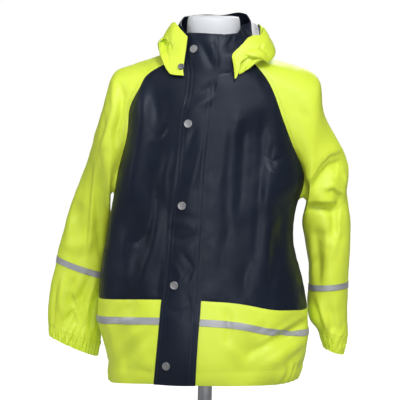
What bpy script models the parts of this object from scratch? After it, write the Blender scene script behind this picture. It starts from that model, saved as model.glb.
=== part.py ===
"""A child's rubberised raincoat with raglan sleeves, worn by a limbless dress form on a pole and base.

Every cloth piece is a wall on one continuous outer surface. Neighbouring pieces share their seam points
and the direction of their walls there, and are then drawn back from the seam by half a gap each.
Tables are in millimetres, heights are above the hem unless a name says otherwise, x is towards the
wearer's left, y towards the back.
"""

from math import cos, pi, radians, sin

import bmesh
import bpy
import numpy as np
from mathutils import Matrix, Vector
from mathutils.bvhtree import BVHTree

MM = 0.001
HEM_ABOVE_FLOOR = 215.0
WALL = 1.6
SEAM_GAP = 0.3
LAID_ON_GAP = 0.3
ROUNDNESS = 2.25  # exponent of the body's rounded-oval sections; 2 is a plain ellipse

SIDE_COLUMNS = 10  # steps from a side seam or raglan seam to the storm flap's edge
FLAP_COLUMNS = 2  # steps from the flap's edge to the centre front
BACK_COLUMNS = 20
RAGLAN_ROWS = 11  # steps from the underarm to the neckline
NECK_COLUMNS = 4  # steps of a sleeve's short edge at the neckline
COLLAR_ROWS = 3

RIM_ORDER = (0.37, 0.11, 1.0)  # a slanting direction; it settles how the rims of a wall are cut

TAPE_WALL = 0.5
FLAP_WALL = 2.0
CASING_WALL = 1.3
SNAP_DIAMETER = 13.0
HOOD_SNAP_DIAMETER = 10.0
SNAP_HEIGHT = 2.2

POLE_DIAMETER = 23.0
BASE_DIAMETER = 290.0
BASE_THICKNESS = 9.0

NAVY = (0.018, 0.024, 0.045, 1.0)
YELLOW = (0.62, 0.83, 0.03, 1.0)
SILVER = (0.45, 0.45, 0.50, 1.0)
STEEL = (0.55, 0.56, 0.58, 1.0)
GREY_SNAP = (0.10, 0.10, 0.12, 1.0)
WHITE = (0.80, 0.80, 0.82, 1.0)
# name: colour, roughness, metallic
FINISHES = {
    "navy_coated_fabric": (NAVY, 0.42, 0.0),
    "yellow_coated_fabric": (YELLOW, 0.45, 0.0),
    "reflective_tape": (SILVER, 0.35, 0.2),
    "snap_metal": (STEEL, 0.30, 1.0),
    "snap_grey": (GREY_SNAP, 0.40, 0.0),
    "form_white": (WHITE, 0.55, 0.0),
    "pole_metal": (STEEL, 0.22, 1.0),
}


def smooth(keys, values, place):
    """Values between rows, on one smooth curve through them; place may be a number or a list."""
    place = np.clip(place, keys[0], keys[-1])
    slopes = np.gradient(values, keys, axis=0)
    low = np.clip(np.searchsorted(keys, place) - 1, 0, len(keys) - 2)
    step = keys[low + 1] - keys[low]
    part = (place - keys[low]) / step
    if values.ndim > 1:
        shape = np.shape(part) + (1,) * (values.ndim - 1)
        part, step = np.reshape(part, shape), np.reshape(step, shape)
    rise = part * part * (3 - 2 * part)
    return (
        values[low] * (1 - rise)
        + values[low + 1] * rise
        + slopes[low] * step * part * (1 - part) ** 2
        - slopes[low + 1] * step * part * part * (1 - part)
    )


class Table:
    """Rows of named columns. The first column is the key that the others are read by."""

    def __init__(self, columns, *rows):
        self.columns = columns.split()
        self.rows = np.array(rows, float)
        self.keys = self.rows[:, 0]

    def column(self, name):
        return self.rows[:, self.columns.index(name)]

    def at(self, name, place):
        return smooth(self.keys, self.column(name), place)


# The body's sections: how far the surface lies to each side, to the front and to the back of the pole's
# line. side_y is where a section is widest. Above the underarm they are the torso that the raglan
# sleeves' seams lie on.
BODY = Table(
    "height right left front back side_y",
    (0, 153, 139, 98, 82, -14),
    (25, 155, 147, 108, 90, -14),
    (50, 159, 157, 114, 98, -14),
    (70, 169, 162, 116, 103, -14),
    (100, 174, 163, 115, 105, -14),
    (140, 174, 160, 111, 105, -13),
    (190, 171, 148, 107, 104, -12),
    (250, 162, 133, 106, 103, -9),
    (299, 154.5, 141, 106, 102, -5),
    (322, 152.5, 151, 105, 101, -3),
    (337, 151.5, 154, 105, 100, -2),
    (355, 149, 152, 104, 99, -1),
    (372, 147, 148, 102, 98, 0),
    (391, 146, 144, 99, 96, 0),
    (413, 147, 140, 95, 94, 0),
    (444, 146, 134, 88, 90, 0),
    (479, 138, 122, 79, 84, 0),
    (501, 124, 107, 73, 78, 0),
    (510, 110, 98, 70, 75, 0),
    (521, 81, 79, 66, 71, 0),
    (541, 73, 70, 62, 64, 0),
)

# Heights of the rows of the panels: at the right side, the centre front, the left side and centre back.
ROWS = Table(
    "row right front left back",
    (0, 5, 14, 15, 10),  # hem
    (1, 48, 55, 50, 48),
    (2, 100, 110, 88, 98),  # lower edge of the reflective tape
    (3, 112, 121, 98, 110),  # its upper edge
    (4, 139, 149, 130, 139),  # top of the hem band
    (5, 169, 179, 163, 170),
    (6, 200, 210, 196, 202),
    (7, 233, 243, 229, 235),
    (8, 266, 276, 263, 268),
    (9, 299, 308, 298, 301),  # underarm
)
BAND_DIP, BAND_DIP_X, BAND_DIP_WIDTH = 5.0, 105.0, 38.0  # where the left band's seam and tape sink
TAPE_LOW, TAPE_HIGH, BAND_TOP, UNDERARM = 2, 3, 4, 9
TOP = UNDERARM + RAGLAN_ROWS
NECK_FRONT, NECK_BACK = 503.0, 541.0
SEAM_TOP_FRONT, SEAM_TOP_SIDE, SEAM_TOP_BACK = 521.0, 530.0, 534.0

# How far out the raglan seams lie at each height.
RAGLAN = Table(
    "height right_front left_front right_back left_back",
    (299, 154.5, 141, 154.5, 141),
    (322, 150.5, 150, 150, 149),
    (337, 148.5, 152.5, 147, 150),
    (355, 145, 148.5, 143, 145),
    (372, 141, 140, 138, 138),
    (391, 136, 131, 132, 130),
    (413, 133, 122.5, 126, 121),
    (444, 131, 110, 118, 110),
    (479, 115.6, 97.4, 103, 96),
    (501, 102, 85, 92, 84),
    (510, 93, 79, 84, 77),
    (521, 68, 66, 70, 67),
    (534, 60, 58, 58, 56),
)

# The storm flap's two edges and the centre front line under it.
FLAP = Table(
    "height right_edge centre left_edge",
    (0, -82, -49, -16),
    (101, -75, -43, -12.5),
    (139, -72.5, -41, -10),
    (192, -67, -38, -9),
    (261, -64, -35, -6.6),
    (302, -62, -33, -5.5),
    (346, -56, -29, -4),
    (387, -53.5, -26, -1),
    (437, -50, -23, 3),
    (480, -42, -19, 8),
    (503, -42, -17, 11),
)

# Sleeve sections, from the armhole down: the outer and the inner point seen from the front, how far back
# the section's middle lies, and half its depth. Rows named below carry the tape and the cuff.
SLEEVES = {
    "right": Table(
        "ring outer_x outer_z inner_x inner_z mid_y depth",
        (1, -156, 490, -158, 293, 3, 52),
        (2, -172, 447, -159, 283, 13, 52),
        (3, -189, 386, -158, 265, 36, 47),
        (4, -207, 326, -157, 244, 50, 44),
        (5, -224, 278, -156, 221, 59, 43),
        (6, -237, 226, -156, 193, 63, 42),
        (7, -244, 196, -157, 169, 64, 41),
        (8, -245, 186, -158, 159, 64, 41),
        (9, -252, 155, -161, 132, 62, 40),
        (10, -257, 118, -166, 100, 59, 38),
        (11, -256.5, 85, -172, 57, 53, 31),
    ),
    "left": Table(
        "ring outer_x outer_z inner_x inner_z mid_y depth",
        (1, 167, 494, 155, 291, 1, 52),
        (2, 181, 437, 151, 280, 6, 52),
        (3, 205, 394, 149, 267, 12, 48),
        (4, 221, 358, 152, 250, 18, 47),
        (5, 220, 316, 155, 234, 22, 47),
        (6, 226, 275, 158, 217, 25, 48),
        (7, 228, 225, 162, 195, 28, 49),
        (8, 226.5, 170, 163, 164.5, 30, 49),
        (9, 226.5, 160.5, 163, 155, 30, 49),
        (10, 227, 108, 165, 108, 29, 46),
        (11, 228, 80, 181, 88, 28, 38),
    ),
}
TAPE_RINGS = {"right": (7, 8), "left": (8, 9)}
# Rows that a sleeve is built with, counted in the rings above; ring 0 is the armhole's own seam.
SLEEVE_ROWS = (0, 0.35, 0.7, 1, 1.5, 2, 2.5, 3, 3.5, 4, 4.5, 5, 5.5, 6, 6.5, 7, 8, 9, 9.5, 10, 10.5, 11)
ARMHOLE_PUFF = (0, 2.5, 2.5, 1.5)  # how far the first rows stand off the body beside the raglan seam
# Where the cuff casings end below the last sleeve section.
CUFF_ENDS = {"right": (-253, 67, -176, 36, 51, 30), "left": (222, 52, 190, 62, 28, 35)}

# The collar's upper edge: which way it lies from the neck's middle, and how high, at columns counted
# round the neckline from the centre front over the wearer's left.
COLLAR_TOP = {"right": 53.0, "left": 58.0, "front": 55.0, "back": 60.0, "bulge": 2.5}
COLLAR_EDGE = Table(
    "column turn height",
    (0, -107, 565),  # centre front
    (2, -75, 565),  # the flap's sewn edge
    (7, -50, 565),
    (12, -22, 577),  # left sleeve's front
    (16, 25, 592),  # left sleeve's back
    (26, 90, 594),  # centre back
    (36, 155, 590),  # right sleeve's back
    (40, 202, 574),  # right sleeve's front
    (50, 214, 565),  # the flap's free edge
    (52, 253, 565),  # centre front
)

# Main folds. A fold is a soft ridge (rise above 0) or trough along a line of (x, height) points.
FOLDS = (
    # part, face, width, rise, line
    ("body", "front", 16, 7.5, ((-109, 470), (-110, 424), (-118, 370), (-128, 314), (-133, 298))),
    ("body", "front", 12, -5, ((-95, 472), (-81, 443))),
    ("body", "front", 17, 7, ((-80, 261), (-87, 225), (-99, 198), (-107, 161))),
    ("body", "front", 14, -6, ((-118, 250), (-126, 190))),
    ("body", "front", 13, -7, ((54, 413), (50, 371), (51, 283))),
    ("body", "front", 17, 7, ((91, 334), (93, 220), (87, 186))),
    ("body", "front", 15, -7, ((78, 420), (74, 340), (72, 262))),
    ("body", "front", 14, -5, ((120, 300), (112, 210))),
    ("body", "front", 10, -5, ((33, 142), (35, 71))),
    ("body", "front", 16, -10, ((160, 112), (112, 84), (61, 58))),
    ("body", "front", 16, 6, ((150, 70), (105, 48))),
    ("body", "front", 12, -5, ((-122, 144), (-146, 105))),
    ("body", "front", 12, -6, ((-87, 100), (-124, 54), (-128, 37))),
    ("body", "back", 18, -7.5, ((-62, 430), (-54, 330), (-66, 190))),
    ("body", "back", 18, 7.5, ((34, 440), (42, 330), (30, 200))),
    ("body", "back", 16, -7.5, ((92, 400), (84, 300), (96, 210))),
    ("body", "back", 16, 7, ((-104, 400), (-98, 300), (-112, 180))),
    ("right", "front", 15, 7.5, ((-157, 480), (-155, 441), (-174, 370), (-182, 303), (-199, 225))),
    ("right", "front", 12, -6, ((-148, 470), (-143, 431), (-150, 418), (-148, 385))),
    ("right", "front", 10, -6, ((-216, 130), (-222, 96))),
    ("right", "front", 10, -5, ((-192, 150), (-198, 92))),
    ("right", "front", 14, -6, ((-215, 270), (-205, 236))),
    ("right", "back", 14, -7.5, ((-178, 420), (-196, 352))),
    ("right", "back", 14, 7.5, ((-190, 330), (-214, 262), (-218, 212))),
    ("right", "back", 12, -6, ((-205, 150), (-214, 96))),
    ("left", "front", 13, -9, ((168, 336), (178, 350), (192, 367), (216, 361))),
    ("left", "front", 17, 7.5, ((176, 322), (204, 334))),
    ("left", "front", 12, -7, ((162, 293), (178, 296), (203, 296))),
    ("left", "front", 12, -7, ((202, 308), (204, 250))),
    ("left", "front", 10, -7, ((174, 248), (175, 196))),
    ("left", "front", 14, -6, ((196, 140), (202, 100))),
    ("left", "back", 13, -9, ((170, 342), (186, 360), (214, 350))),
    ("left", "back", 14, -7.5, ((170, 290), (208, 300))),
    ("left", "back", 14, 7, ((200, 262), (206, 190))),
)

FACE_SPREAD = 1.6  # how soon a fold of one face has died away round a sleeve; 1 is a plain sine

# Half the hood. Each row is a slice through it, turned about the neck from the front (0) past the side
# (90) to the centre back (180). A slice runs from the neck seam down to the pouch's bottom, out and up
# to the rim, and over it to the lip of the turned-in edge. Its seam is turned back by lean, its lip not.
HOODS = {
    "right": Table(
        "turn lean seam_r seam_z low_r low_z out_r out_z rim_r rim_z lip_r lip_z",
        (37, 7, 91, 498, 89, 504, 83, 520, 74, 548, 69, 562),
        (52, 3, 101, 506, 97, 512, 89, 528, 74, 562, 67, 573),
        (70, 0, 92, 524, 93, 528, 89, 541, 73, 574, 65, 582),
        (95, 0, 82, 537, 87, 534, 85, 546, 72, 572, 63, 580),
        (125, 0, 81, 544, 96, 532, 100, 543, 86, 571, 76, 579),
        (152, 0, 78, 549, 116, 466, 139, 484, 127, 562, 117, 567),
        (180, 0, 76, 551, 119, 428, 148, 450, 134, 558, 124, 563),
    ),
    "left": Table(
        "turn lean seam_r seam_z low_r low_z out_r out_z rim_r rim_z lip_r lip_z",
        (27, 0, 86, 494, 83, 502, 78, 515, 72, 532, 69, 541),
        (45, 0, 93, 500, 95, 509, 93, 526, 81, 552, 74, 561),
        (68, 0, 91, 524, 102, 529, 101, 542, 87, 571, 78, 577),
        (95, 0, 85, 540, 96, 537, 96, 549, 83, 569, 74, 580),
        (125, 0, 83, 546, 104, 533, 112, 542, 97, 569, 87, 579),
        (152, 0, 79, 550, 116, 466, 139, 484, 127, 562, 117, 567),
        (180, 0, 76, 551, 119, 428, 148, 450, 134, 558, 124, 563),
    ),
}
HOOD_PATH = ("seam", "low", "out", "rim", "lip")
HOOD_COLUMNS = 14
HOOD_ROWS = 9

# Gathers: how far alternate columns are pushed out and in, at each row from the top or the hem.
GATHER_STEPS = 3
GATHER_UNEVENNESS, GATHER_RHYTHM = 0.35, 1.7
BACK_GATHERS = (3.0, 1.6, 0, 0, 0)
CUFF_GATHERS = (0.3, 1.8, 1.5)

FLAP_PUFF = 2.0
FLAP_SNAPS = ((-29.9, 541), (-36.6, 425), (-43.2, 297), (-52.2, 172), (-61.6, 45))
HOOD_SNAPS = {"right": (-53.5, 513), "left": (40, 510)}
HOOD_SNAP_LIFT = 0.8
SNAP_SIDES = 14
SNAP_LIFT = 0.35
IN_FRONT = 400.0  # clear of everything before the coat

# The dress form's rings, from its flat underside up to the neck's cap. A ring is level where its three
# heights agree; on the shoulders its sides lie higher than its front and back.
FORM = Table(
    "ring half_width front back side_z front_z back_z",
    (0, 88, 66, 62, 62, 62, 62),
    (1, 112, 84, 80, 78, 78, 78),
    (2, 118, 88, 88, 140, 140, 140),
    (3, 106, 80, 78, 230, 230, 230),
    (4, 112, 88, 82, 320, 320, 320),
    (5, 118, 86, 84, 390, 395, 395),
    (6, 124, 74, 78, 448, 442, 446),
    (7, 118, 62, 68, 486, 468, 478),
    (8, 104, 52, 58, 502, 486, 500),
    (9, 76, 47, 52, 512, 500, 520),
    (10, 50, 45, 48, 528, 515, 534),
    (11, 43.5, 43, 43, 548, 538, 550),
    (12, 43, 43, 43, 588, 588, 588),
    (13, 39, 39, 39, 592, 592, 592),
)
FORM_COLUMNS = 24
FORM_CLEAR_OF_CLOTH = 3.5
FORM_SEAT_GAP = 0.5
SEAT_RING = 8  # the ring whose side points carry the jacket's shoulders
AIM_INSIDE, AIM_FROM_BELOW = 0.4, 40.0  # where the cloth above a point of the form is looked for from


# ---------------------------------------------------------------- scene, materials and meshes


def start_scene():
    for thing in list(bpy.data.objects):
        bpy.data.objects.remove(thing)
    parts = bpy.data.collections.new("kids_raincoat")
    bpy.context.scene.collection.children.link(parts)
    return parts


def material_of(slot):
    material = bpy.data.materials.get(slot)
    if material is None:
        colour, roughness, metallic = FINISHES[slot]
        material = bpy.data.materials.new(slot)
        material.use_nodes = True
        shader = material.node_tree.nodes["Principled BSDF"]
        shader.inputs["Base Color"].default_value = colour
        shader.inputs["Roughness"].default_value = roughness
        shader.inputs["Metallic"].default_value = metallic
        material.diffuse_color = colour
    return material


def add_object(name, mesh, slot):
    mesh.materials.append(material_of(slot))
    piece = bpy.data.objects.new(name, mesh)
    bpy.data.collections["kids_raincoat"].objects.link(piece)
    return piece


def add_faces(name, points, faces, slot):
    """An object of points in millimetres, with its faces turned outwards."""
    mesh = bpy.data.meshes.new(name)
    mesh.from_pydata([tuple(point) for point in np.asarray(points) * MM], [], faces)
    shape = bmesh.new()
    shape.from_mesh(mesh)
    if shape.calc_volume(signed=True) < 0:
        bmesh.ops.reverse_faces(shape, faces=shape.faces)
    shape.to_mesh(mesh)
    shape.free()
    mesh.shade_smooth()
    mesh.set_sharp_from_angle(angle=radians(60))
    return add_object(name, mesh, slot)


def skin_triangles(rows, columns, closed, first=0, flip=False):
    """The triangles of a grid of points. Every grid is cut along the same diagonal, so layers match."""
    faces = []
    for row in range(rows - 1):
        for column in range(columns if closed else columns - 1):
            beside = (column + 1) % columns
            a, b = first + row * columns + column, first + row * columns + beside
            c, d = b + columns, a + columns
            faces += [(a, c, b), (a, d, c)] if flip else [(a, b, c), (a, c, d)]
    return faces


def cloth(name, outer, inner, slot, closed=False):
    """A wall of cloth between an outer and an inner grid of points, open at both ends if it is a tube."""
    rows, columns = outer.shape[:2]
    count = rows * columns
    points = np.concatenate([outer.reshape(-1, 3), inner.reshape(-1, 3)])
    faces = skin_triangles(rows, columns, closed)
    faces += skin_triangles(rows, columns, closed, first=count, flip=True)
    rims, last_row = [], (rows - 1) * columns
    for column in range(columns if closed else columns - 1):
        beside = (column + 1) % columns
        rims.append((column, beside))
        rims.append((last_row + beside, last_row + column))
    if not closed:
        for row in range(rows - 1):
            rims.append(((row + 1) * columns, row * columns))
            rims.append(((row + 1) * columns - 1, (row + 2) * columns - 1))
    ahead = points @ RIM_ORDER
    for start, end in rims:
        # both sides of a seam are cut along the same diagonal
        if ahead[start] > ahead[end]:
            faces += [(start, count + start, count + end), (start, count + end, end)]
        else:
            faces += [(start, count + start, end), (count + start, count + end, end)]
    return add_faces(name, points, faces, slot)


def turned(name, profile, steps, place, slot):
    """A solid of revolution; the profile is (radius, height) pairs from its top to its underside."""
    mesh = bpy.data.meshes.new(name)
    points = [(radius * MM, 0.0, height * MM) for radius, height in profile]
    mesh.from_pydata(points, [(i, i + 1) for i in range(len(points) - 1)], [])
    piece = add_object(name, mesh, slot)
    screw = piece.modifiers.new("Screw", "SCREW")
    screw.steps = screw.render_steps = steps
    screw.use_merge_vertices = True
    screw.merge_threshold = 0.00001
    screw.use_smooth_shade = True
    piece.matrix_world = place
    return piece


# ---------------------------------------------------------------- the coat's one outer surface


def body_point(height, turn):
    """A point of the body, turned from the wearer's left side (0) over the back (90); the front is -90."""
    across, along = cos(radians(turn)), sin(radians(turn))
    half = BODY.at("left" if across > 0 else "right", height)
    depth = BODY.at("back" if along > 0 else "front", height)
    x = np.sign(across) * half * abs(across) ** (2 / ROUNDNESS)
    y = BODY.at("side_y", height) + np.sign(along) * depth * abs(along) ** (2 / ROUNDNESS)
    return np.array((x, y, height))


def turn_at(height, x, face):
    """Where the body's section passes this x, on its front (-1) or its back (1)."""
    half = BODY.at("left" if x > 0 else "right", height)
    part = min(abs(x) / half, 1.0) ** (ROUNDNESS / 2)
    from_side = np.degrees(np.arccos(part))
    return face * (from_side if x > 0 else 180 - from_side)


def raglan_turn(side, height, face):
    """Where a raglan seam crosses the body at this height."""
    column = side + ("_front" if face < 0 else "_back")
    x = RAGLAN.at(column, height) * (1 if side == "left" else -1)
    return turn_at(height, x, face)


def row_height(column, row, top):
    """Height of a panel row: from the table up to the underarm, then evenly up to the neckline."""
    if row <= UNDERARM:
        return ROWS.at(column, row)
    part = (row - UNDERARM) / RAGLAN_ROWS
    return ROWS.at(column, UNDERARM) * (1 - part) + top * part


def front_panel(side):
    """Points of a front from hem to neckline, from the wearer's right to left."""
    grid = []
    for row in range(TOP + 1):
        at_side = row_height(side, row, SEAM_TOP_FRONT)
        at_centre = row_height("front", row, NECK_FRONT)
        side_turn = {"right": -180.0, "left": 0.0}[side]
        if row > UNDERARM:
            side_turn = raglan_turn(side, at_side, -1)
        edge = FLAP.at(side + "_edge", at_centre)
        centre = FLAP.at("centre", at_centre)
        edge_turn = turn_at(at_centre, edge, -1)
        turns = list(np.linspace(side_turn, edge_turn, SIDE_COLUMNS + 1))
        for x in np.linspace(edge, centre, FLAP_COLUMNS + 1)[1:]:
            turns.append(turn_at(at_centre, x, -1))
        span = turns[-1] - side_turn
        line = []
        for turn in turns:
            part = (turn - side_turn) / span
            height = at_side + (at_centre - at_side) * part * part * (3 - 2 * part)
            point = body_point(height, turn)
            if side == "left" and TAPE_LOW <= row <= BAND_TOP:
                dip = BAND_DIP * np.exp(-(((point[0] - BAND_DIP_X) / BAND_DIP_WIDTH) ** 2))
                point[2] -= dip * faded(len(line))
            line.append(point)
        grid.append(line if side == "right" else line[::-1])
    return np.array(grid)


def back_panel():
    """Points of the back from hem to neckline, from the wearer's left to right."""
    grid = []
    for row in range(TOP + 1):
        left = row_height("left", row, SEAM_TOP_BACK)
        right = row_height("right", row, SEAM_TOP_BACK)
        middle = row_height("back", row, NECK_BACK)
        start, end = 0.0, 180.0
        if row > UNDERARM:
            start, end = raglan_turn("left", left, 1), raglan_turn("right", right, 1)
        line = []
        for part in np.linspace(0, 1, BACK_COLUMNS + 1):
            side_height = left * (1 - part) + right * part
            height = side_height + (middle - side_height) * sin(pi * part)
            line.append(body_point(height, start + (end - start) * part))
        grid.append(line)
    return np.array(grid)


def shoulder_neckline(side):
    """The neckline's points between the front and the back raglan seam, both ends included."""
    start = raglan_turn(side, SEAM_TOP_FRONT, -1)
    end = raglan_turn(side, SEAM_TOP_BACK, 1)
    if side == "right":
        end -= 360
    parts = np.linspace(0, 1, NECK_COLUMNS + 1)
    thirds = np.array((SEAM_TOP_FRONT, SEAM_TOP_SIDE, SEAM_TOP_BACK))
    heights = smooth(np.array((0.0, 0.5, 1.0)), thirds, parts)
    return np.array([body_point(h, start + (end - start) * part) for h, part in zip(heights, parts)])


def ring_points(outer, inner, mid_y, depth, count):
    """A closed sleeve section, from its inner point over the front to its outer point and back."""
    outer = np.array((outer[0], mid_y, outer[1]), float)
    inner = np.array((inner[0], mid_y, inner[1]), float)
    middle, half = (outer + inner) / 2, (outer - inner) / 2
    angles = pi - 2 * pi * np.arange(count) / count
    return middle + np.cos(angles)[:, None] * half - np.sin(angles)[:, None] * (0, depth, 0)


def sleeve(side, front, back):
    """Points of a sleeve from the raglan seam and neckline down to the cuff, round from the underarm."""
    seam_column, back_column = {"right": (0, -1), "left": (-1, 0)}[side]
    rising = front[UNDERARM:, seam_column]
    falling = back[TOP:UNDERARM:-1, back_column]
    loop = np.concatenate([rising, shoulder_neckline(side)[1:-1], falling])
    rings = [loop]
    for _, outer_x, outer_z, inner_x, inner_z, *rest in SLEEVES[side].rows:
        rings.append(ring_points((outer_x, outer_z), (inner_x, inner_z), *rest, len(loop)))
    rings = np.array(rings)
    steps = np.linalg.norm(np.diff(rings.mean(axis=1), axis=0), axis=1)
    places = np.concatenate([[0], np.cumsum(steps)])
    points = smooth(places, rings, np.interp(SLEEVE_ROWS, np.arange(len(rings)), places))
    points[: len(ARMHOLE_PUFF), :, 0] += np.array(ARMHOLE_PUFF)[:, None] * (1 if side == "left" else -1)
    return points


def collar_grid(front_right, front_left, back):
    """Points of the collar from the neckline up, round from the centre front over the wearer's left."""
    left, right = shoulder_neckline("left")[1:-1], shoulder_neckline("right")[1:-1]
    neckline = [front_left[-1], left, back[-1], right[::-1], front_right[-1]]
    bottom = np.concatenate(neckline)
    columns, turns, height = COLLAR_EDGE.rows.T
    turns = np.radians(np.interp(np.arange(len(bottom)), columns, turns))
    height = np.interp(np.arange(len(bottom)), columns, height)
    half = np.where(np.cos(turns) > 0, COLLAR_TOP["left"], COLLAR_TOP["right"])
    depth = np.where(np.sin(turns) > 0, COLLAR_TOP["back"], COLLAR_TOP["front"])
    top = np.stack([half * np.cos(turns), depth * np.sin(turns), height], axis=1)
    outward = top * (1, 1, 0) / np.linalg.norm(top[:, :2], axis=1)[:, None]
    rows = []
    for part in np.linspace(0, 1, COLLAR_ROWS + 1):
        rows.append(bottom * (1 - part) + top * part + outward * COLLAR_TOP["bulge"] * sin(pi * part))
    return np.array(rows)


# ---------------------------------------------------------------- wall directions, folds and seams


def corner_sums(grid, closed, sense):
    """For each point of a grid, the sum of the normals of the faces that meet there."""
    sums = np.zeros_like(grid)
    columns = grid.shape[1]
    for column in range(columns if closed else columns - 1):
        beside = (column + 1) % columns
        a, b = grid[:-1, column], grid[:-1, beside]
        c, d = grid[1:, beside], grid[1:, column]
        facing = np.cross(c - a, d - b) * sense
        for place in (column, beside):
            sums[:-1, place] += facing
            sums[1:, place] += facing
    return sums


def wall_directions(grids):
    """Outward unit directions of every grid's points. Pieces that share a point share its direction."""
    sums = {name: corner_sums(*grid) for name, grid in grids.items()}
    shared = {}
    for name, (points, _, _) in grids.items():
        for point, value in zip(points.reshape(-1, 3), sums[name].reshape(-1, 3)):
            key = tuple(np.round(point, 3) + 0.0)
            shared[key] = shared.get(key, 0) + value
    directions = {}
    for name, (points, _, _) in grids.items():
        found = np.array([shared[tuple(np.round(point, 3) + 0.0)] for point in points.reshape(-1, 3)])
        found /= np.linalg.norm(found, axis=1)[:, None]
        directions[name] = found.reshape(points.shape)
    return directions


def distance_to_line(points, line):
    """Distance of each point, seen from the front, to a line of (x, height) points."""
    seen = points[..., (0, 2)]
    nearest = np.full(seen.shape[:-1], np.inf)
    for start, end in zip(np.array(line, float)[:-1], np.array(line, float)[1:]):
        run = end - start
        part = np.clip(((seen - start) @ run) / (run @ run), 0, 1)
        nearest = np.minimum(nearest, np.linalg.norm(seen - start - part[..., None] * run, axis=-1))
    return nearest


def fold_rise(points, part, face):
    """How far the folds of one face of one part lift each point."""
    rise = np.zeros(points.shape[:-1])
    for fold_part, fold_face, width, height, line in FOLDS:
        if (fold_part, fold_face) == (part, face):
            rise += height * np.exp(-((distance_to_line(points, line) / width) ** 2))
    return rise


def fold_in(grids):
    """Every grid with its folds, which fade out towards the seams that join unlike pieces."""
    directions = wall_directions(grids)
    folded = {}
    for name, (points, closed, sense) in grids.items():
        rows, columns = points.shape[:2]
        row, column = np.arange(rows)[:, None], np.arange(columns)[None, :]
        if name.startswith("front"):
            from_side = column if name == "front_right" else columns - 1 - column
            below_neck = rows - 1 - row
            rise = fold_rise(points, "body", "front") * faded(from_side) * faded(below_neck)
        elif name == "back":
            from_side = np.minimum(column, columns - 1 - column)
            rise = fold_rise(points, "body", "back") * faded(from_side) * faded(rows - 1 - row)
        elif name.startswith("sleeve"):
            side = name.split("_")[1]
            facing = np.sin(2 * pi * column / columns)
            front, back = np.clip(FACE_SPREAD * facing, 0, 1), np.clip(-FACE_SPREAD * facing, 0, 1)
            rise = fold_rise(points, side, "front") * front + fold_rise(points, side, "back") * back
            rise = rise * faded(row / 2)
        else:
            rise = np.zeros((rows, columns))
        folded[name] = (points + directions[name] * rise[..., None], closed, sense)
    return folded


def faded(steps):
    """0 at a seam, full from two grid steps away."""
    return np.clip(steps / 2, 0, 1)


def drawn_back(points, directions, edge, away):
    """An edge moved off its seam by half a gap, square to the seam and to the wall, to the side of away."""
    line = points[edge]
    across = np.cross(directions[edge], np.gradient(line, axis=0))
    across /= np.linalg.norm(across, axis=1)[:, None]
    across *= np.sign((across * away).sum(axis=1))[:, None]
    points[edge] = line + across * SEAM_GAP / 2


def walled(name, points, directions, slot, closed=False, wall=WALL):
    return cloth(name, points, points - directions * wall, slot, closed)


def laid_on(name, points, directions, slot, wall, closed=False):
    """A layer that lies on a panel: the panel's own points, moved out by a gap and by its thickness."""
    under = points + directions * LAID_ON_GAP
    return cloth(name, under + directions * np.asarray(wall)[..., None], under, slot, closed)


# ---------------------------------------------------------------- the sewn pieces


def coat_surface():
    """Every grid of the coat's outer surface with its folds in, and the directions of its walls."""
    front_right, front_left, back = front_panel("right"), front_panel("left"), back_panel()
    grids = {
        "front_right": (front_right, False, 1),
        "front_left": (front_left, False, 1),
        "back": (back, False, 1),
        "sleeve_right": (sleeve("right", front_right, back), True, 1),
        "sleeve_left": (sleeve("left", front_left, back), True, -1),
        "collar": (collar_grid(front_right, front_left, back), False, 1),
    }
    grids = fold_in(grids)
    for points, _, _ in grids.values():
        points[..., 2] += HEM_ABOVE_FLOOR
    return {name: points for name, (points, _, _) in grids.items()}, wall_directions(grids)


def body_pieces(surface, directions):
    """The navy fronts and back, and the yellow hem bands under them."""
    for name, centre_away, side_away in (("front_right", -1, -1), ("front_left", 1, -1), ("back", 0, 1)):
        points, facing = surface[name].copy(), directions[name]
        side_columns = {"front_right": (0,), "front_left": (-1,), "back": (0, -1)}[name]
        centre_column = {"front_right": -1, "front_left": 0, "back": None}[name]
        for column in side_columns:
            seam = np.s_[UNDERARM:, column]
            drawn_back(points, facing, seam, -points[seam] * (1, 1, 0))
            points[: UNDERARM + 1, column, 1] += side_away * SEAM_GAP / 2
        if centre_column is not None:
            points[:, centre_column, 0] += centre_away * SEAM_GAP / 2
        points[-1, :, 2] -= SEAM_GAP / 2
        upper, lower = points[BAND_TOP:].copy(), points[: BAND_TOP + 1].copy()
        upper[0, :, 2] += SEAM_GAP / 2
        lower[-1, :, 2] -= SEAM_GAP / 2
        walled(name, upper, facing[BAND_TOP:], "navy_coated_fabric")
        band = facing[: BAND_TOP + 1]
        if name == "back":
            lower, band = gathered_rows(lower, band, BACK_GATHERS, closed=False)
        walled("band_" + name, lower, band, "yellow_coated_fabric")


def gathered_rows(points, directions, amplitudes, closed):
    """The grid with GATHER_STEPS times its columns, every second one pushed out and the rest in."""
    columns = points.shape[1]
    ends = columns if closed else columns - 1
    fine_points, fine_directions = [], []
    for column in range(ends * GATHER_STEPS + (0 if closed else 1)):
        low, part = column // GATHER_STEPS, column % GATHER_STEPS / GATHER_STEPS
        high = (low + 1) % columns if part else low
        point = points[:, low] * (1 - part) + points[:, high] * part
        facing = directions[:, low] * (1 - part) + directions[:, high] * part
        facing /= np.linalg.norm(facing, axis=1)[:, None]
        uneven = 1 + GATHER_UNEVENNESS * sin(GATHER_RHYTHM * column)
        push = np.array(amplitudes) * (1 if column % 2 else -1) * uneven
        if not closed and column in (0, ends * GATHER_STEPS):
            push = push * 0
        fine_points.append(point + facing * push[:, None])
        fine_directions.append(facing)
    return np.stack(fine_points, axis=1), np.stack(fine_directions, axis=1)


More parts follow.
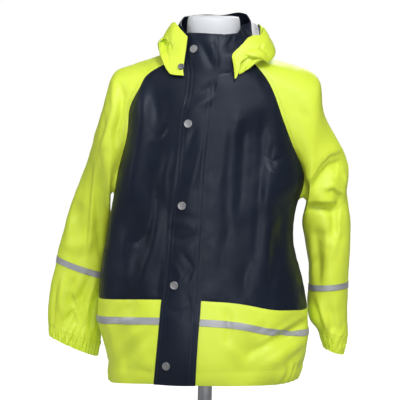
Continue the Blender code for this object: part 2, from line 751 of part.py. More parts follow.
def sleeve_pieces(surface, directions):
    for side in ("right", "left"):
        name = "sleeve_" + side
        points, facing = surface[name].copy(), directions[name]
        seam = points[0]
        along = np.roll(seam, -1, axis=0) - np.roll(seam, 1, axis=0)
        across = np.cross(facing[0], along)
        across /= np.linalg.norm(across, axis=1)[:, None]
        across *= np.sign((across * seam * (1, 1, 0)).sum(axis=1))[:, None]
        across[0] = (0, 0, 1)  # up from the underarm point, away from the side seam
        points[0] = seam + across * SEAM_GAP / 2
        walled(name, points, facing, "yellow_coated_fabric", closed=True)
        high, low = (SLEEVE_ROWS.index(ring) for ring in TAPE_RINGS[side])
        rows = np.s_[high : low + 1]
        laid_on("tape_" + name, points[rows], facing[rows], "reflective_tape", TAPE_WALL, closed=True)
        cuff_casing(side, points, facing)


def cuff_casing(side, points, facing):
    """A gathered casing that goes on from the sleeve's last section."""
    outer_x, outer_z, inner_x, inner_z, *rest = CUFF_ENDS[side]
    end = ring_points((outer_x, outer_z), (inner_x, inner_z), *rest, points.shape[1])
    end[:, 2] += HEM_ABOVE_FLOOR
    down = end.mean(axis=0) - points[-1].mean(axis=0)
    down /= np.linalg.norm(down)
    start = points[-1] + down * SEAM_GAP
    rows = np.array([start, start * 0.5 + end * 0.5, end])
    directions = np.array([facing[-1]] * 3)
    rows, directions = gathered_rows(rows, directions, CUFF_GATHERS, closed=True)
    walled("cuff_" + side, rows, directions, "yellow_coated_fabric", closed=True, wall=CASING_WALL)


def collar_piece(surface, directions):
    points = surface["collar"].copy()
    points[0, :, 2] += SEAM_GAP / 2
    points[:, 0, 0] += SEAM_GAP / 2
    points[:, -1, 0] -= SEAM_GAP / 2
    walled("collar", points, directions["collar"], "navy_coated_fabric")


def flap_grid(grids):
    """The flap's part of the fronts and the collar, from the hem up, from its free edge to its seam."""
    one_side, other_side = np.s_[:, -FLAP_COLUMNS - 1 :], np.s_[:, 1 : FLAP_COLUMNS + 1]
    on_fronts = np.hstack([grids["front_right"][one_side], grids["front_left"][other_side]])
    on_collar = np.hstack([grids["collar"][one_side], grids["collar"][other_side]])
    return np.vstack([on_fronts, on_collar[1:]])


def storm_flap(surface, directions):
    """A doubled strip over the centre front, a little puffed between its edges."""
    points, facing = flap_grid(surface), flap_grid(directions)
    across = np.linspace(0, pi, points.shape[1])
    wall = FLAP_WALL + FLAP_PUFF * np.sin(across) * np.ones((len(points), 1))
    return laid_on("storm_flap", points, facing, "navy_coated_fabric", wall)


def hem_tapes(surface, directions):
    rows = np.s_[TAPE_LOW : TAPE_HIGH + 1]
    for name, flap_column, clear in (("front_right", SIDE_COLUMNS, -1), ("front_left", FLAP_COLUMNS, 1)):
        columns = np.s_[: SIDE_COLUMNS + 1] if name == "front_right" else np.s_[FLAP_COLUMNS:]
        points, facing = surface[name][rows, columns].copy(), directions[name][rows, columns]
        flap_end, side_end = (-1, 0) if name == "front_right" else (0, -1)
        points[:, flap_end, 0] += clear * SEAM_GAP
        points[:, side_end, 1] -= SEAM_GAP / 2
        laid_on("tape_" + name, points, facing, "reflective_tape", TAPE_WALL)
    points, facing = surface["back"][rows].copy(), directions["back"][rows]
    points[:, (0, -1), 1] += SEAM_GAP / 2
    laid_on("tape_back", points, facing, "reflective_tape", TAPE_WALL)


def hood_pieces():
    """Two halves of a hood that hangs open behind the collar, one wall from neck seam to turned-in lip."""
    slices = []
    for side, order in (("right", 1), ("left", -1)):
        table = HOODS[side]
        turns = np.linspace(table.keys[0], table.keys[-1], HOOD_COLUMNS + 1)
        half = []
        for turn in turns:
            path = [(table.at(spot + "_r", turn), table.at(spot + "_z", turn)) for spot in HOOD_PATH]
            places = np.linspace(0, len(path) - 1, HOOD_ROWS + 1)
            r, z = smooth(np.arange(len(path)), np.array(path), places).T
            leaning = np.radians(turn - table.at("lean", turn) * np.linspace(1, 0, len(r)))
            x, y = (-1 if side == "right" else 1) * r * np.sin(leaning), -r * np.cos(leaning)
            half.append(np.stack([x, y, z + HEM_ABOVE_FLOOR], axis=1))
        slices += half if order > 0 else half[-2::-1]
    points = np.array(slices).transpose(1, 0, 2)
    directions = wall_directions({"hood": (points, False, -1)})["hood"]
    middle = HOOD_COLUMNS
    for name, columns, away in (("hood_right", np.s_[: middle + 1], -1), ("hood_left", np.s_[middle:], 1)):
        half = points[:, columns].copy()
        half[:, -1 if away < 0 else 0, 0] += away * SEAM_GAP / 2
        walled(name, half, directions[:, columns], "yellow_coated_fabric")


# ---------------------------------------------------------------- snaps, dress form and stand


def tree_of(piece):
    """Something to aim at: the faces of a finished piece, in millimetres."""
    mesh = piece.data
    points = [vertex.co / MM for vertex in mesh.vertices]
    return BVHTree.FromPolygons(points, [tuple(face.vertices) for face in mesh.polygons])


def snap_cap(name, base, x, height, diameter, lift, slot):
    """A domed cap pressed onto a piece, found from in front at this x and height."""
    start = Vector((x, -IN_FRONT, height + HEM_ABOVE_FLOOR))
    spot, normal, _, _ = tree_of(base).ray_cast(start, Vector((0, 1, 0)))
    radius = diameter / 2
    profile = (
        (0, SNAP_HEIGHT - 0.5),
        (radius * 0.5, SNAP_HEIGHT - 0.3),
        (radius * 0.8, SNAP_HEIGHT),
        (radius, SNAP_HEIGHT * 0.6),
        (radius, 0),
        (0, 0),
    )
    facing = normal.to_track_quat("Z", "Y").to_matrix().to_4x4()
    place = Matrix.Translation((spot + normal * lift) * MM) @ facing
    turned(name, profile, SNAP_SIDES, place, slot)


def form_rings():
    turns = 2 * pi * np.arange(FORM_COLUMNS) / FORM_COLUMNS
    across, along = np.cos(turns), np.sin(turns)
    rings = []
    for _, half_width, front, back, side_z, front_z, back_z in FORM.rows:
        depth = np.where(along > 0, back, front)
        height = side_z * across**2 + np.where(along > 0, back_z, front_z) * along**2
        rings.append(np.stack([half_width * across, depth * along, height + HEM_ABOVE_FLOOR], axis=1))
    return np.array(rings)


def dress_form(cloth_pieces):
    """A smooth torso and neck, drawn in wherever the cloth needs room; its shoulders carry the coat."""
    rings = form_rings()
    trees = [tree_of(piece) for piece in cloth_pieces]
    for ring in range(1, len(rings) - 2):
        for column in range(FORM_COLUMNS):
            point = Vector(rings[ring, column])
            below = AIM_FROM_BELOW if ring >= SEAT_RING - 1 else 0
            start = Vector((point.x * AIM_INSIDE, point.y * AIM_INSIDE, point.z - below))
            ray = (point - start).normalized()
            hits = [tree.ray_cast(start, ray) for tree in trees]
            reach = min((hit[3] for hit in hits if hit[0]), default=None)
            seated = ring == SEAT_RING and column % (FORM_COLUMNS // 2) == 0
            clear = FORM_SEAT_GAP if seated else FORM_CLEAR_OF_CLOTH
            if reach and (seated or (point - start).length > reach - clear):
                rings[ring, column] = start + ray * (reach - clear)
    count = FORM_COLUMNS
    faces = skin_triangles(len(rings), count, closed=True)
    faces.append(tuple(range(count))[::-1])
    faces.append(tuple(range((len(rings) - 1) * count, len(rings) * count)))
    add_faces("dress_form", rings.reshape(-1, 3), faces, "form_white")


def stand():
    """A round base, slightly domed, and the pole between it and the form's flat underside."""
    radius = BASE_DIAMETER / 2
    profile = (
        (0, BASE_THICKNESS),
        (POLE_DIAMETER, BASE_THICKNESS),
        (radius * 0.9, BASE_THICKNESS * 0.8),
        (radius * 0.985, BASE_THICKNESS * 0.6),
        (radius, BASE_THICKNESS * 0.3),
        (radius, 0),
        (0, 0),
    )
    turned("base", profile, 48, Matrix.Identity(4), "pole_metal")
    low = BASE_THICKNESS + LAID_ON_GAP
    high = HEM_ABOVE_FLOOR + FORM.rows[0, FORM.columns.index("side_z")] - LAID_ON_GAP
    radius = POLE_DIAMETER / 2
    profile = ((0, high - low), (radius, high - low), (radius, 0), (0, 0))
    turned("pole", profile, 24, Matrix.Translation((0, 0, low * MM)), "pole_metal")


def build():
    start_scene()
    surface, directions = coat_surface()
    body_pieces(surface, directions)
    sleeve_pieces(surface, directions)
    collar_piece(surface, directions)
    flap = storm_flap(surface, directions)
    hem_tapes(surface, directions)
    hood_pieces()
    for number, (x, height) in enumerate(FLAP_SNAPS, 1):
        snap_cap(f"snap_flap_{number}", flap, x, height, SNAP_DIAMETER, SNAP_LIFT, "snap_metal")
    for side, (x, height) in HOOD_SNAPS.items():
        corner = bpy.data.objects["hood_" + side]
        snap_cap("snap_hood_" + side, corner, x, height, HOOD_SNAP_DIAMETER, HOOD_SNAP_LIFT, "snap_grey")
    around = ("front_right", "front_left", "back", "sleeve_right", "sleeve_left", "collar")
    dress_form([bpy.data.objects[name] for name in around])
    stand()


build()
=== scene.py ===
# A child's rubberised raincoat on a limbless dress form, with its pole and round base.
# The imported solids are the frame. Each sewn piece is a finer shell on its own solid, with its creases.
from math import cos, hypot, pi, radians, sin

import bmesh
import bpy
import numpy as np
from mathutils import Matrix, Vector
from mathutils.bvhtree import BVHTree
from mathutils.kdtree import KDTree


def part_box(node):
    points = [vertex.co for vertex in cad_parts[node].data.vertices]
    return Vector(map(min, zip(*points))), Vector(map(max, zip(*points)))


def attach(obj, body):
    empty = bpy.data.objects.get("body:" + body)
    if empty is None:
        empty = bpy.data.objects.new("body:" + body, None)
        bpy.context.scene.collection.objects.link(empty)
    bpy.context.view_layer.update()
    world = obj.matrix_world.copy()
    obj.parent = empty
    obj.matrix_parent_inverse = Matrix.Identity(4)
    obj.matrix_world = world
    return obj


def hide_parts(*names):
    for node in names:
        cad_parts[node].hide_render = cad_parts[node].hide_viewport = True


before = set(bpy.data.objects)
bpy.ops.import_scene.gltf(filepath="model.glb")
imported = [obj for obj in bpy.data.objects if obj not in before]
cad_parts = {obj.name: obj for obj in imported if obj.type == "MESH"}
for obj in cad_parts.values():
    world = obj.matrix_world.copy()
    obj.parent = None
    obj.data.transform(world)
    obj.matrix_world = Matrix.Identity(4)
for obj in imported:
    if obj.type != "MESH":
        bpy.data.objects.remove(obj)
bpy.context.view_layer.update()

MM = 0.001


# ---------------------------------------------------------------------------------------------- room
# A pale studio floor and soft lights: a strong one high in front, weaker ones low in front, at both sides
# and behind, and a wide sky. The camera stands a little above the middle of the coat, six metres off.

def deselect():
    if bpy.context.object and bpy.context.object.mode != "OBJECT":
        bpy.ops.object.mode_set(mode="OBJECT")
    bpy.ops.object.select_all(action="DESELECT")


def plain_material(name, colour, roughness, metallic=0.0):
    material = bpy.data.materials.new(name)
    material.use_nodes = True
    shader = material.node_tree.nodes["Principled BSDF"]
    shader.inputs["Base Color"].default_value = (*colour, 1)
    shader.inputs["Roughness"].default_value = roughness
    shader.inputs["Metallic"].default_value = metallic
    return material, material.node_tree.nodes, material.node_tree.links, shader


def lit_for_camera(tree, shader_socket, seen_value, other_value):
    """Sets a strength that camera rays see otherwise than the light that falls on the coat."""
    rays = tree.nodes.new("ShaderNodeLightPath")
    strength = tree.nodes.new("ShaderNodeMapRange")
    strength.inputs["To Min"].default_value, strength.inputs["To Max"].default_value = other_value, seen_value
    tree.links.new(rays.outputs["Is Camera Ray"], strength.inputs["Value"])
    tree.links.new(strength.outputs["Result"], shader_socket)


deselect()
bpy.ops.mesh.primitive_plane_add(size=80, location=(0, 0, 0))
floor = bpy.context.object
floor.name = "floor"
floor_paint, nodes, links, shader = plain_material("floor_paint", (0.40, 0.40, 0.40), 0.95)
shader.inputs["Emission Color"].default_value = (1, 1, 1, 1)
lit_for_camera(floor_paint.node_tree, shader.inputs["Emission Strength"], 0.86, 0.0)
floor.data.materials.append(floor_paint)

room = bpy.data.worlds.new("room")
bpy.context.scene.world = room
room.use_nodes = True
backdrop = room.node_tree.nodes["Background"]
backdrop.inputs["Color"].default_value = (1.0, 1.0, 1.0, 1)
lit_for_camera(room.node_tree, backdrop.inputs["Strength"], 1.0, 0.13)
bpy.context.scene.view_settings.view_transform = "Standard"


def soft_light(name, place, aim, size, power):
    lamp = bpy.data.lights.new(name, "AREA")
    lamp.shape, lamp.size, lamp.energy = "DISK", size, power
    holder = bpy.data.objects.new(name, lamp)
    holder.location = place
    holder.rotation_euler = (Vector(aim) - Vector(place)).to_track_quat("-Z", "Y").to_euler()
    bpy.context.collection.objects.link(holder)


soft_light("key_light", (0.5, -2.5, 2.8), (0, 0, 0.58), 0.9, 60)
soft_light("fill_light", (-2.9, -0.4, 1.6), (0, 0, 0.5), 1.0, 20)
soft_light("side_light", (1.7, -1.6, 2.2), (0.1, 0, 0.8), 0.9, 15)
soft_light("front_light", (0.3, -5.0, 1.0), (0, 0, 0.6), 0.8, 50)
soft_light("back_light", (0.6, 2.4, 2.0), (0, 0, 0.6), 1.4, 22)
sky = bpy.data.lights.new("sky_light", "SUN")
sky.energy, sky.angle = 0.8, radians(70)
sky_holder = bpy.data.objects.new("sky_light", sky)
sky_holder.rotation_euler = (radians(28), radians(-10), 0)
bpy.context.collection.objects.link(sky_holder)

CAMERA_TARGET, CAMERA_DISTANCE = Vector((-0.0152, 0, 0.5124)), 6.0
CAMERA_ELEVATION, CAMERA_ROLL, FRAME_WIDTH = radians(5), 0.024, 0.64
camera = bpy.data.cameras.new("camera")
camera.sensor_width = 36.0
camera.lens = camera.sensor_width * CAMERA_DISTANCE / FRAME_WIDTH
camera.clip_end = 200
camera_holder = bpy.data.objects.new("camera", camera)
away = Vector((0, -cos(CAMERA_ELEVATION), sin(CAMERA_ELEVATION)))
turn = (-away).to_track_quat("-Z", "Y").to_matrix().to_4x4() @ Matrix.Rotation(CAMERA_ROLL, 4, "Z")
camera_holder.matrix_world = Matrix.Translation(CAMERA_TARGET + away * CAMERA_DISTANCE) @ turn
bpy.context.collection.objects.link(camera_holder)
bpy.context.scene.camera = camera_holder


# --------------------------------------------------------------------------------------------- stand
# A chromed steel pole on a heavy round base. The pole goes up into the form's underside.

def node_group(name, outputs, inputs):
    """A shader group with float inputs and the outputs named; returns it with its two end nodes."""
    group = bpy.data.node_groups.new(name, "ShaderNodeTree")
    for label, value in inputs.items():
        socket = group.interface.new_socket(label, in_out="INPUT", socket_type="NodeSocketFloat")
        socket.default_value = value
    for label, kind in outputs.items():
        group.interface.new_socket(label, in_out="OUTPUT", socket_type="NodeSocket" + kind)
    return group, group.nodes.new("NodeGroupInput"), group.nodes.new("NodeGroupOutput")


def math_node(tree, operation, first, second=None):
    node = tree.nodes.new("ShaderNodeMath")
    node.operation = operation
    for socket, value in zip(node.inputs, (first, second)):
        if value is None:
            continue
        if isinstance(value, (int, float)):
            socket.default_value = value
        else:
            tree.links.new(value, socket)
    return node.outputs[0]


def noise_node(tree, scale, detail=2.0, roughness=0.5, stretch=(1, 1, 1)):
    """Noise on the piece's own coordinates, in waves of 1 / scale metres; scale may be a socket."""
    place = tree.nodes.new("ShaderNodeTexCoord")
    mapping = tree.nodes.new("ShaderNodeMapping")
    mapping.inputs["Scale"].default_value = stretch
    noise = tree.nodes.new("ShaderNodeTexNoise")
    tree.links.new(place.outputs["Object"], mapping.inputs["Vector"])
    tree.links.new(mapping.outputs["Vector"], noise.inputs["Vector"])
    if isinstance(scale, (int, float)):
        noise.inputs["Scale"].default_value = scale
    else:
        tree.links.new(scale, noise.inputs["Scale"])
    noise.inputs["Detail"].default_value = detail
    noise.inputs["Roughness"].default_value = roughness
    return noise.outputs["Fac"]


# scuffs: faint smears of use, as a mask about 0.5, and fine dust as a second mask
scuffs, ends_in, ends_out = node_group(
    "scuffs_and_dust", {"Smear": "Float", "Dust": "Float"}, {"Smear Scale": 14.0, "Dust Scale": 420.0}
)
smear = noise_node(scuffs, ends_in.outputs["Smear Scale"], 4.0, 0.6, (1, 1, 0.55))
dust = noise_node(scuffs, ends_in.outputs["Dust Scale"], 1.0)
scuffs.links.new(smear, ends_out.inputs["Smear"])
scuffs.links.new(math_node(scuffs, "POWER", dust, 3.0), ends_out.inputs["Dust"])


def group_node(nodes, group, **values):
    node = nodes.new("ShaderNodeGroup")
    node.node_tree = group
    for label, value in values.items():
        node.inputs[label.replace("_", " ")].default_value = value
    return node


def ramp_node(nodes, links, source, low, high, from_low=0.3, from_high=0.7):
    """Maps a mask to values between low and high."""
    node = nodes.new("ShaderNodeMapRange")
    node.inputs["From Min"].default_value, node.inputs["From Max"].default_value = from_low, from_high
    node.inputs["To Min"].default_value, node.inputs["To Max"].default_value = low, high
    links.new(source, node.inputs["Value"])
    return node.outputs["Result"]


def mixed_colour(nodes, links, mask, low, high):
    mix = nodes.new("ShaderNodeMix")
    mix.data_type = "RGBA"
    mix.inputs["A"].default_value, mix.inputs["B"].default_value = (*low, 1), (*high, 1)
    links.new(mask, mix.inputs["Factor"])
    return mix.outputs["Result"]


def bump_node(nodes, links, height, distance, strength=1.0, after=None):
    bump = nodes.new("ShaderNodeBump")
    bump.inputs["Distance"].default_value, bump.inputs["Strength"].default_value = distance, strength
    links.new(height, bump.inputs["Height"])
    if after is not None:
        links.new(after, bump.inputs["Normal"])
    return bump.outputs["Normal"]


def metal(name, dark, light, roughness, streak=(1, 1, 1), streak_scale=90.0):
    """Plated steel with faint drawing marks and dull smears."""
    material, nodes, links, shader = plain_material(name, light, roughness, 1.0)
    use = group_node(nodes, scuffs)
    links.new(mixed_colour(nodes, links, ramp_node(nodes, links, use.outputs["Smear"], 0, 1), dark, light),
              shader.inputs["Base Color"])
    links.new(ramp_node(nodes, links, use.outputs["Smear"], roughness * 0.75, roughness * 1.35),
              shader.inputs["Roughness"])
    marks = noise_node(material.node_tree, streak_scale, 3.0, 0.6, streak)
    links.new(bump_node(nodes, links, marks, 0.0001, 0.35), shader.inputs["Normal"])
    return material


pole_metal = metal("pole_metal", (0.30, 0.30, 0.32), (0.62, 0.63, 0.66), 0.2, (40, 40, 1), 14.0)
base_metal = metal("base_metal", (0.56, 0.56, 0.58), (0.66, 0.66, 0.68), 0.36, (1, 1, 1), 160.0)
for name, finish in (("pole", pole_metal), ("base", base_metal)):
    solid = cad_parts[name]
    for place in range(len(solid.material_slots)):
        solid.material_slots[place].material = finish


# ---------------------------------------------------------------------------------------- dress form
# A smooth limbless torso with a short neck, moulded and covered with thin white jersey. The coat's
# shoulders lie on it, and only its neck shows in the collar.

def copied_node(name, piece_name):
    """A new piece with a copy of a node's mesh, its loose triangles merged; the node is hidden later."""
    deselect()
    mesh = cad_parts[name].data.copy()
    mesh.name = piece_name
    mesh.materials.clear()
    piece = bpy.data.objects.new(piece_name, mesh)
    bpy.context.collection.objects.link(piece)
    bpy.context.view_layer.objects.active = piece
    piece.select_set(True)
    bpy.ops.object.mode_set(mode="EDIT")
    bpy.ops.mesh.select_all(action="SELECT")
    bpy.ops.mesh.remove_doubles(threshold=0.00001)
    bpy.ops.mesh.tris_convert_to_quads(face_threshold=pi, shape_threshold=pi, topology_influence=1.5)
    bpy.ops.object.mode_set(mode="OBJECT")
    return piece


def apply_modifier(piece, kind, **settings):
    bpy.context.view_layer.objects.active = piece
    modifier = piece.modifiers.new(kind.title(), kind)
    for key, value in settings.items():
        setattr(modifier, key, value)
    bpy.ops.object.modifier_apply(modifier=modifier.name)


def kept(piece, slot, *nodes_replaced):
    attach(piece, "root")
    if nodes_replaced:
        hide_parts(*nodes_replaced)


# jersey: rows of small knitted loops, as a height, for the form's cover and the coat's white backing
jersey, ends_in, ends_out = node_group("jersey_loops", {"Height": "Float"}, {"Loop Scale": 900.0})
place = jersey.nodes.new("ShaderNodeTexCoord")
loops = jersey.nodes.new("ShaderNodeTexVoronoi")
jersey.links.new(place.outputs["Object"], loops.inputs["Vector"])
jersey.links.new(ends_in.outputs["Loop Scale"], loops.inputs["Scale"])
jersey.links.new(math_node(jersey, "SUBTRACT", 1.0, loops.outputs["Distance"]), ends_out.inputs["Height"])

form_cover, nodes, links, shader = plain_material("form_white", (0.66, 0.68, 0.72), 0.5)
shader.inputs["Sheen Weight"].default_value = 0.15
use = group_node(nodes, scuffs, Smear_Scale=9.0)
links.new(mixed_colour(nodes, links, ramp_node(nodes, links, use.outputs["Smear"], 0, 1),
                       (0.63, 0.65, 0.69), (0.69, 0.71, 0.75)), shader.inputs["Base Color"])
knit = group_node(nodes, jersey, Loop_Scale=1300.0)
links.new(bump_node(nodes, links, knit.outputs["Height"], 0.00025, 0.25), shader.inputs["Normal"])

form = copied_node("dress_form", "form")
apply_modifier(form, "SUBSURF", levels=2, render_levels=2)
# under the cloth the padding gives way where the coat's creases press in
for vertex in form.data.vertices:
    hidden = min(1.0, max(0.0, (0.752 - vertex.co.z) / 0.03))
    vertex.co.x *= 1 - 0.055 * hidden
    vertex.co.y *= 1 - 0.075 * hidden
form.data.materials.append(form_cover)
form.data.shade_smooth()
kept(form, "form_white", "dress_form")


# -------------------------------------------------------------------------------------------- fronts
# Two navy fronts of polyester knit, coated on the outside with soft polyurethane that shines a little.
# They are sewn to the raglan sleeves, the back and the hem bands, and meet under the storm flap.

# The two points where a raglan seam, a side seam and a sleeve's own seam come together.
UNDERARMS = np.array(((-154.5, -5, 514), (141, -5, 514)))


def cloth_quads(node, name, thinnest, thickest):
    """The outer side of a cloth solid, as a piece of four-sided faces made from its triangles. Edges as
    long as the cloth is thick go through it."""
    solid = bmesh.new()
    solid.from_mesh(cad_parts[node].data)
    bmesh.ops.remove_doubles(solid, verts=solid.verts, dist=0.00001)
    solid.verts.index_update()
    points = [vertex.co.copy() for vertex in solid.verts]
    triangles = [tuple(vertex.index for vertex in face.verts) for face in solid.faces]
    solid.free()
    beside = {}
    for number, corners in enumerate(triangles):
        for place in range(3):
            beside.setdefault(frozenset((corners[place], corners[place - 1])), []).append(number)

    def long(edge):
        first, second = edge
        return (points[first] - points[second]).length

    def edges_of(number):
        corners = triangles[number]
        return [frozenset((corners[place], corners[place - 1])) for place in range(3)]

    through = {edge for edge in beside if thinnest * MM < long(edge) < thickest * MM}
    rims = {number for number in range(len(triangles)) if any(edge in through for edge in edges_of(number))}
    diagonals = {edge for edge in beside if edge not in through and set(beside[edge]) <= rims}
    # on each side of the cloth the diagonals follow from one another, from the squarest corner on
    left, parts = set(range(len(triangles))) - rims, []
    while left:
        part, waiting = set(), [min(left)]
        while waiting:
            number = waiting.pop()
            if number in left:
                left.discard(number)
                part.add(number)
                waiting += [other for edge in edges_of(number) for other in beside[edge]]
        parts.append(part)

        def squareness(number):
            lengths = sorted(long(edge) for edge in edges_of(number))
            return abs(lengths[0] ** 2 + lengths[1] ** 2 - lengths[2] ** 2) / lengths[2] ** 2

        seed = min(part, key=squareness)
        waiting, paired = [max(edges_of(seed), key=long)], set()
        while waiting:
            diagonal = waiting.pop()
            pair = [number for number in beside[diagonal] if number in part and number not in paired]
            if len(pair) < 2:
                continue
            diagonals.add(diagonal)
            paired.update(pair)
            for number in pair:
                tip = (set(triangles[number]) - diagonal).pop()
                for end in diagonal:
                    for other in beside[frozenset((tip, end))]:
                        if other in part and other not in paired:
                            far = (set(triangles[other]) - {tip, end}).pop()
                            waiting.append(frozenset((tip, far)))

    def area(part):
        return sum((points[b] - points[a]).cross(points[c] - points[a]).length
                   for a, b, c in (triangles[number] for number in part))

    parts.sort(key=area, reverse=True)
    outer = parts[0]
    faces = []
    for edge in diagonals:
        first, second = beside[edge]
        if first in outer:
            corners = triangles[first]
            while corners[0] not in edge or corners[2] not in edge:
                corners = corners[1:] + corners[:1]
            faces.append((*corners, (set(triangles[second]) - edge).pop()))
            outer -= {first, second}
    faces += [triangles[number] for number in outer]
    used = sorted({corner for face in faces for corner in face})
    place_of = {corner: place for place, corner in enumerate(used)}
    faces = sorted(tuple(place_of[corner] for corner in face) for face in faces)
    points = np.array([points[corner] for corner in used])
    meeting = [min(range(len(points)), key=lambda place: hypot(*(points[place] / MM - underarm)))
               for underarm in UNDERARMS]
    meeting = {place for place, underarm in zip(meeting, UNDERARMS)
               if hypot(*(points[place] / MM - underarm)) < 4}
    mesh = bpy.data.meshes.new(name)
    mesh.from_pydata(smoothed_through(points, faces, meeting).tolist(), [], faces)
    pins = mesh.attributes.new("crease_vert", "FLOAT", "POINT")
    for place in meeting:
        pins.data[place].value = 1.0
    piece = bpy.data.objects.new(name, mesh)
    bpy.context.collection.objects.link(piece)
    return piece


def smoothed_through(points, faces, pinned):
    """Control points whose subdivided surface passes close to the points given."""
    edges, diagonals, borders = ({} for _ in range(3))
    seen = {}
    for face in faces:
        for place, corner in enumerate(face):
            edges.setdefault(corner, set()).update((face[place - 1], face[(place + 1) % len(face)]))
            seen[frozenset((corner, face[place - 1]))] = seen.get(frozenset((corner, face[place - 1])), 0) + 1
            if len(face) == 4:
                diagonals.setdefault(corner, []).append(face[place - 2])
    for edge, count in seen.items():
        if count == 1:
            for corner in edge:
                borders.setdefault(corner, []).extend(edge - {corner})
    inside = [corner for corner in edges
              if corner not in borders and len(edges[corner]) == 4 == len(diagonals.get(corner, ()))]
    along = [corner for corner in borders if len(edges[corner]) == 3 and corner not in pinned]
    inside_edges = np.array([sorted(edges[corner]) for corner in inside], int).reshape(-1, 4)
    inside_diagonals = np.array([diagonals[corner] for corner in inside], int).reshape(-1, 4)
    along_edges = np.array([borders[corner] for corner in along], int).reshape(-1, 2)
    control = points.copy()
    for _ in range(4):
        limit = points.copy()
        limit[inside] = (16 * control[inside] + 4 * control[inside_edges].sum(axis=1)
                         + control[inside_diagonals].sum(axis=1)) / 36
        limit[along] = (4 * control[along] + control[along_edges].sum(axis=1)) / 6
        change = points - limit
        control[inside] += 0.7 * change[inside]
        control[along] += change[along]
    return control


def tree_of_points(points, places):
    tree = KDTree(len(places))
    for place in places:
        tree.insert(points[place], place)
    tree.balance()
    return tree


SEAM_GAP = 0.1  # between two finished edges; farther than the reach they aren't joined
JOIN_REACH, JOIN_FADE = 4.5, 9
RELAX_STEP, RELAX_FREE = 0.7, 5  # the share of each step, and how far from a seam it is fully felt
SEAMS, SHELLS = {}, {}  # the finished edges of each piece of cloth, and the piece itself


def sums_beside(pairs, line):
    """For each point, the sum of the values at the points that it is paired with."""
    first, second = pairs.T
    return np.bincount(first, line[second], len(line)) + np.bincount(second, line[first], len(line))


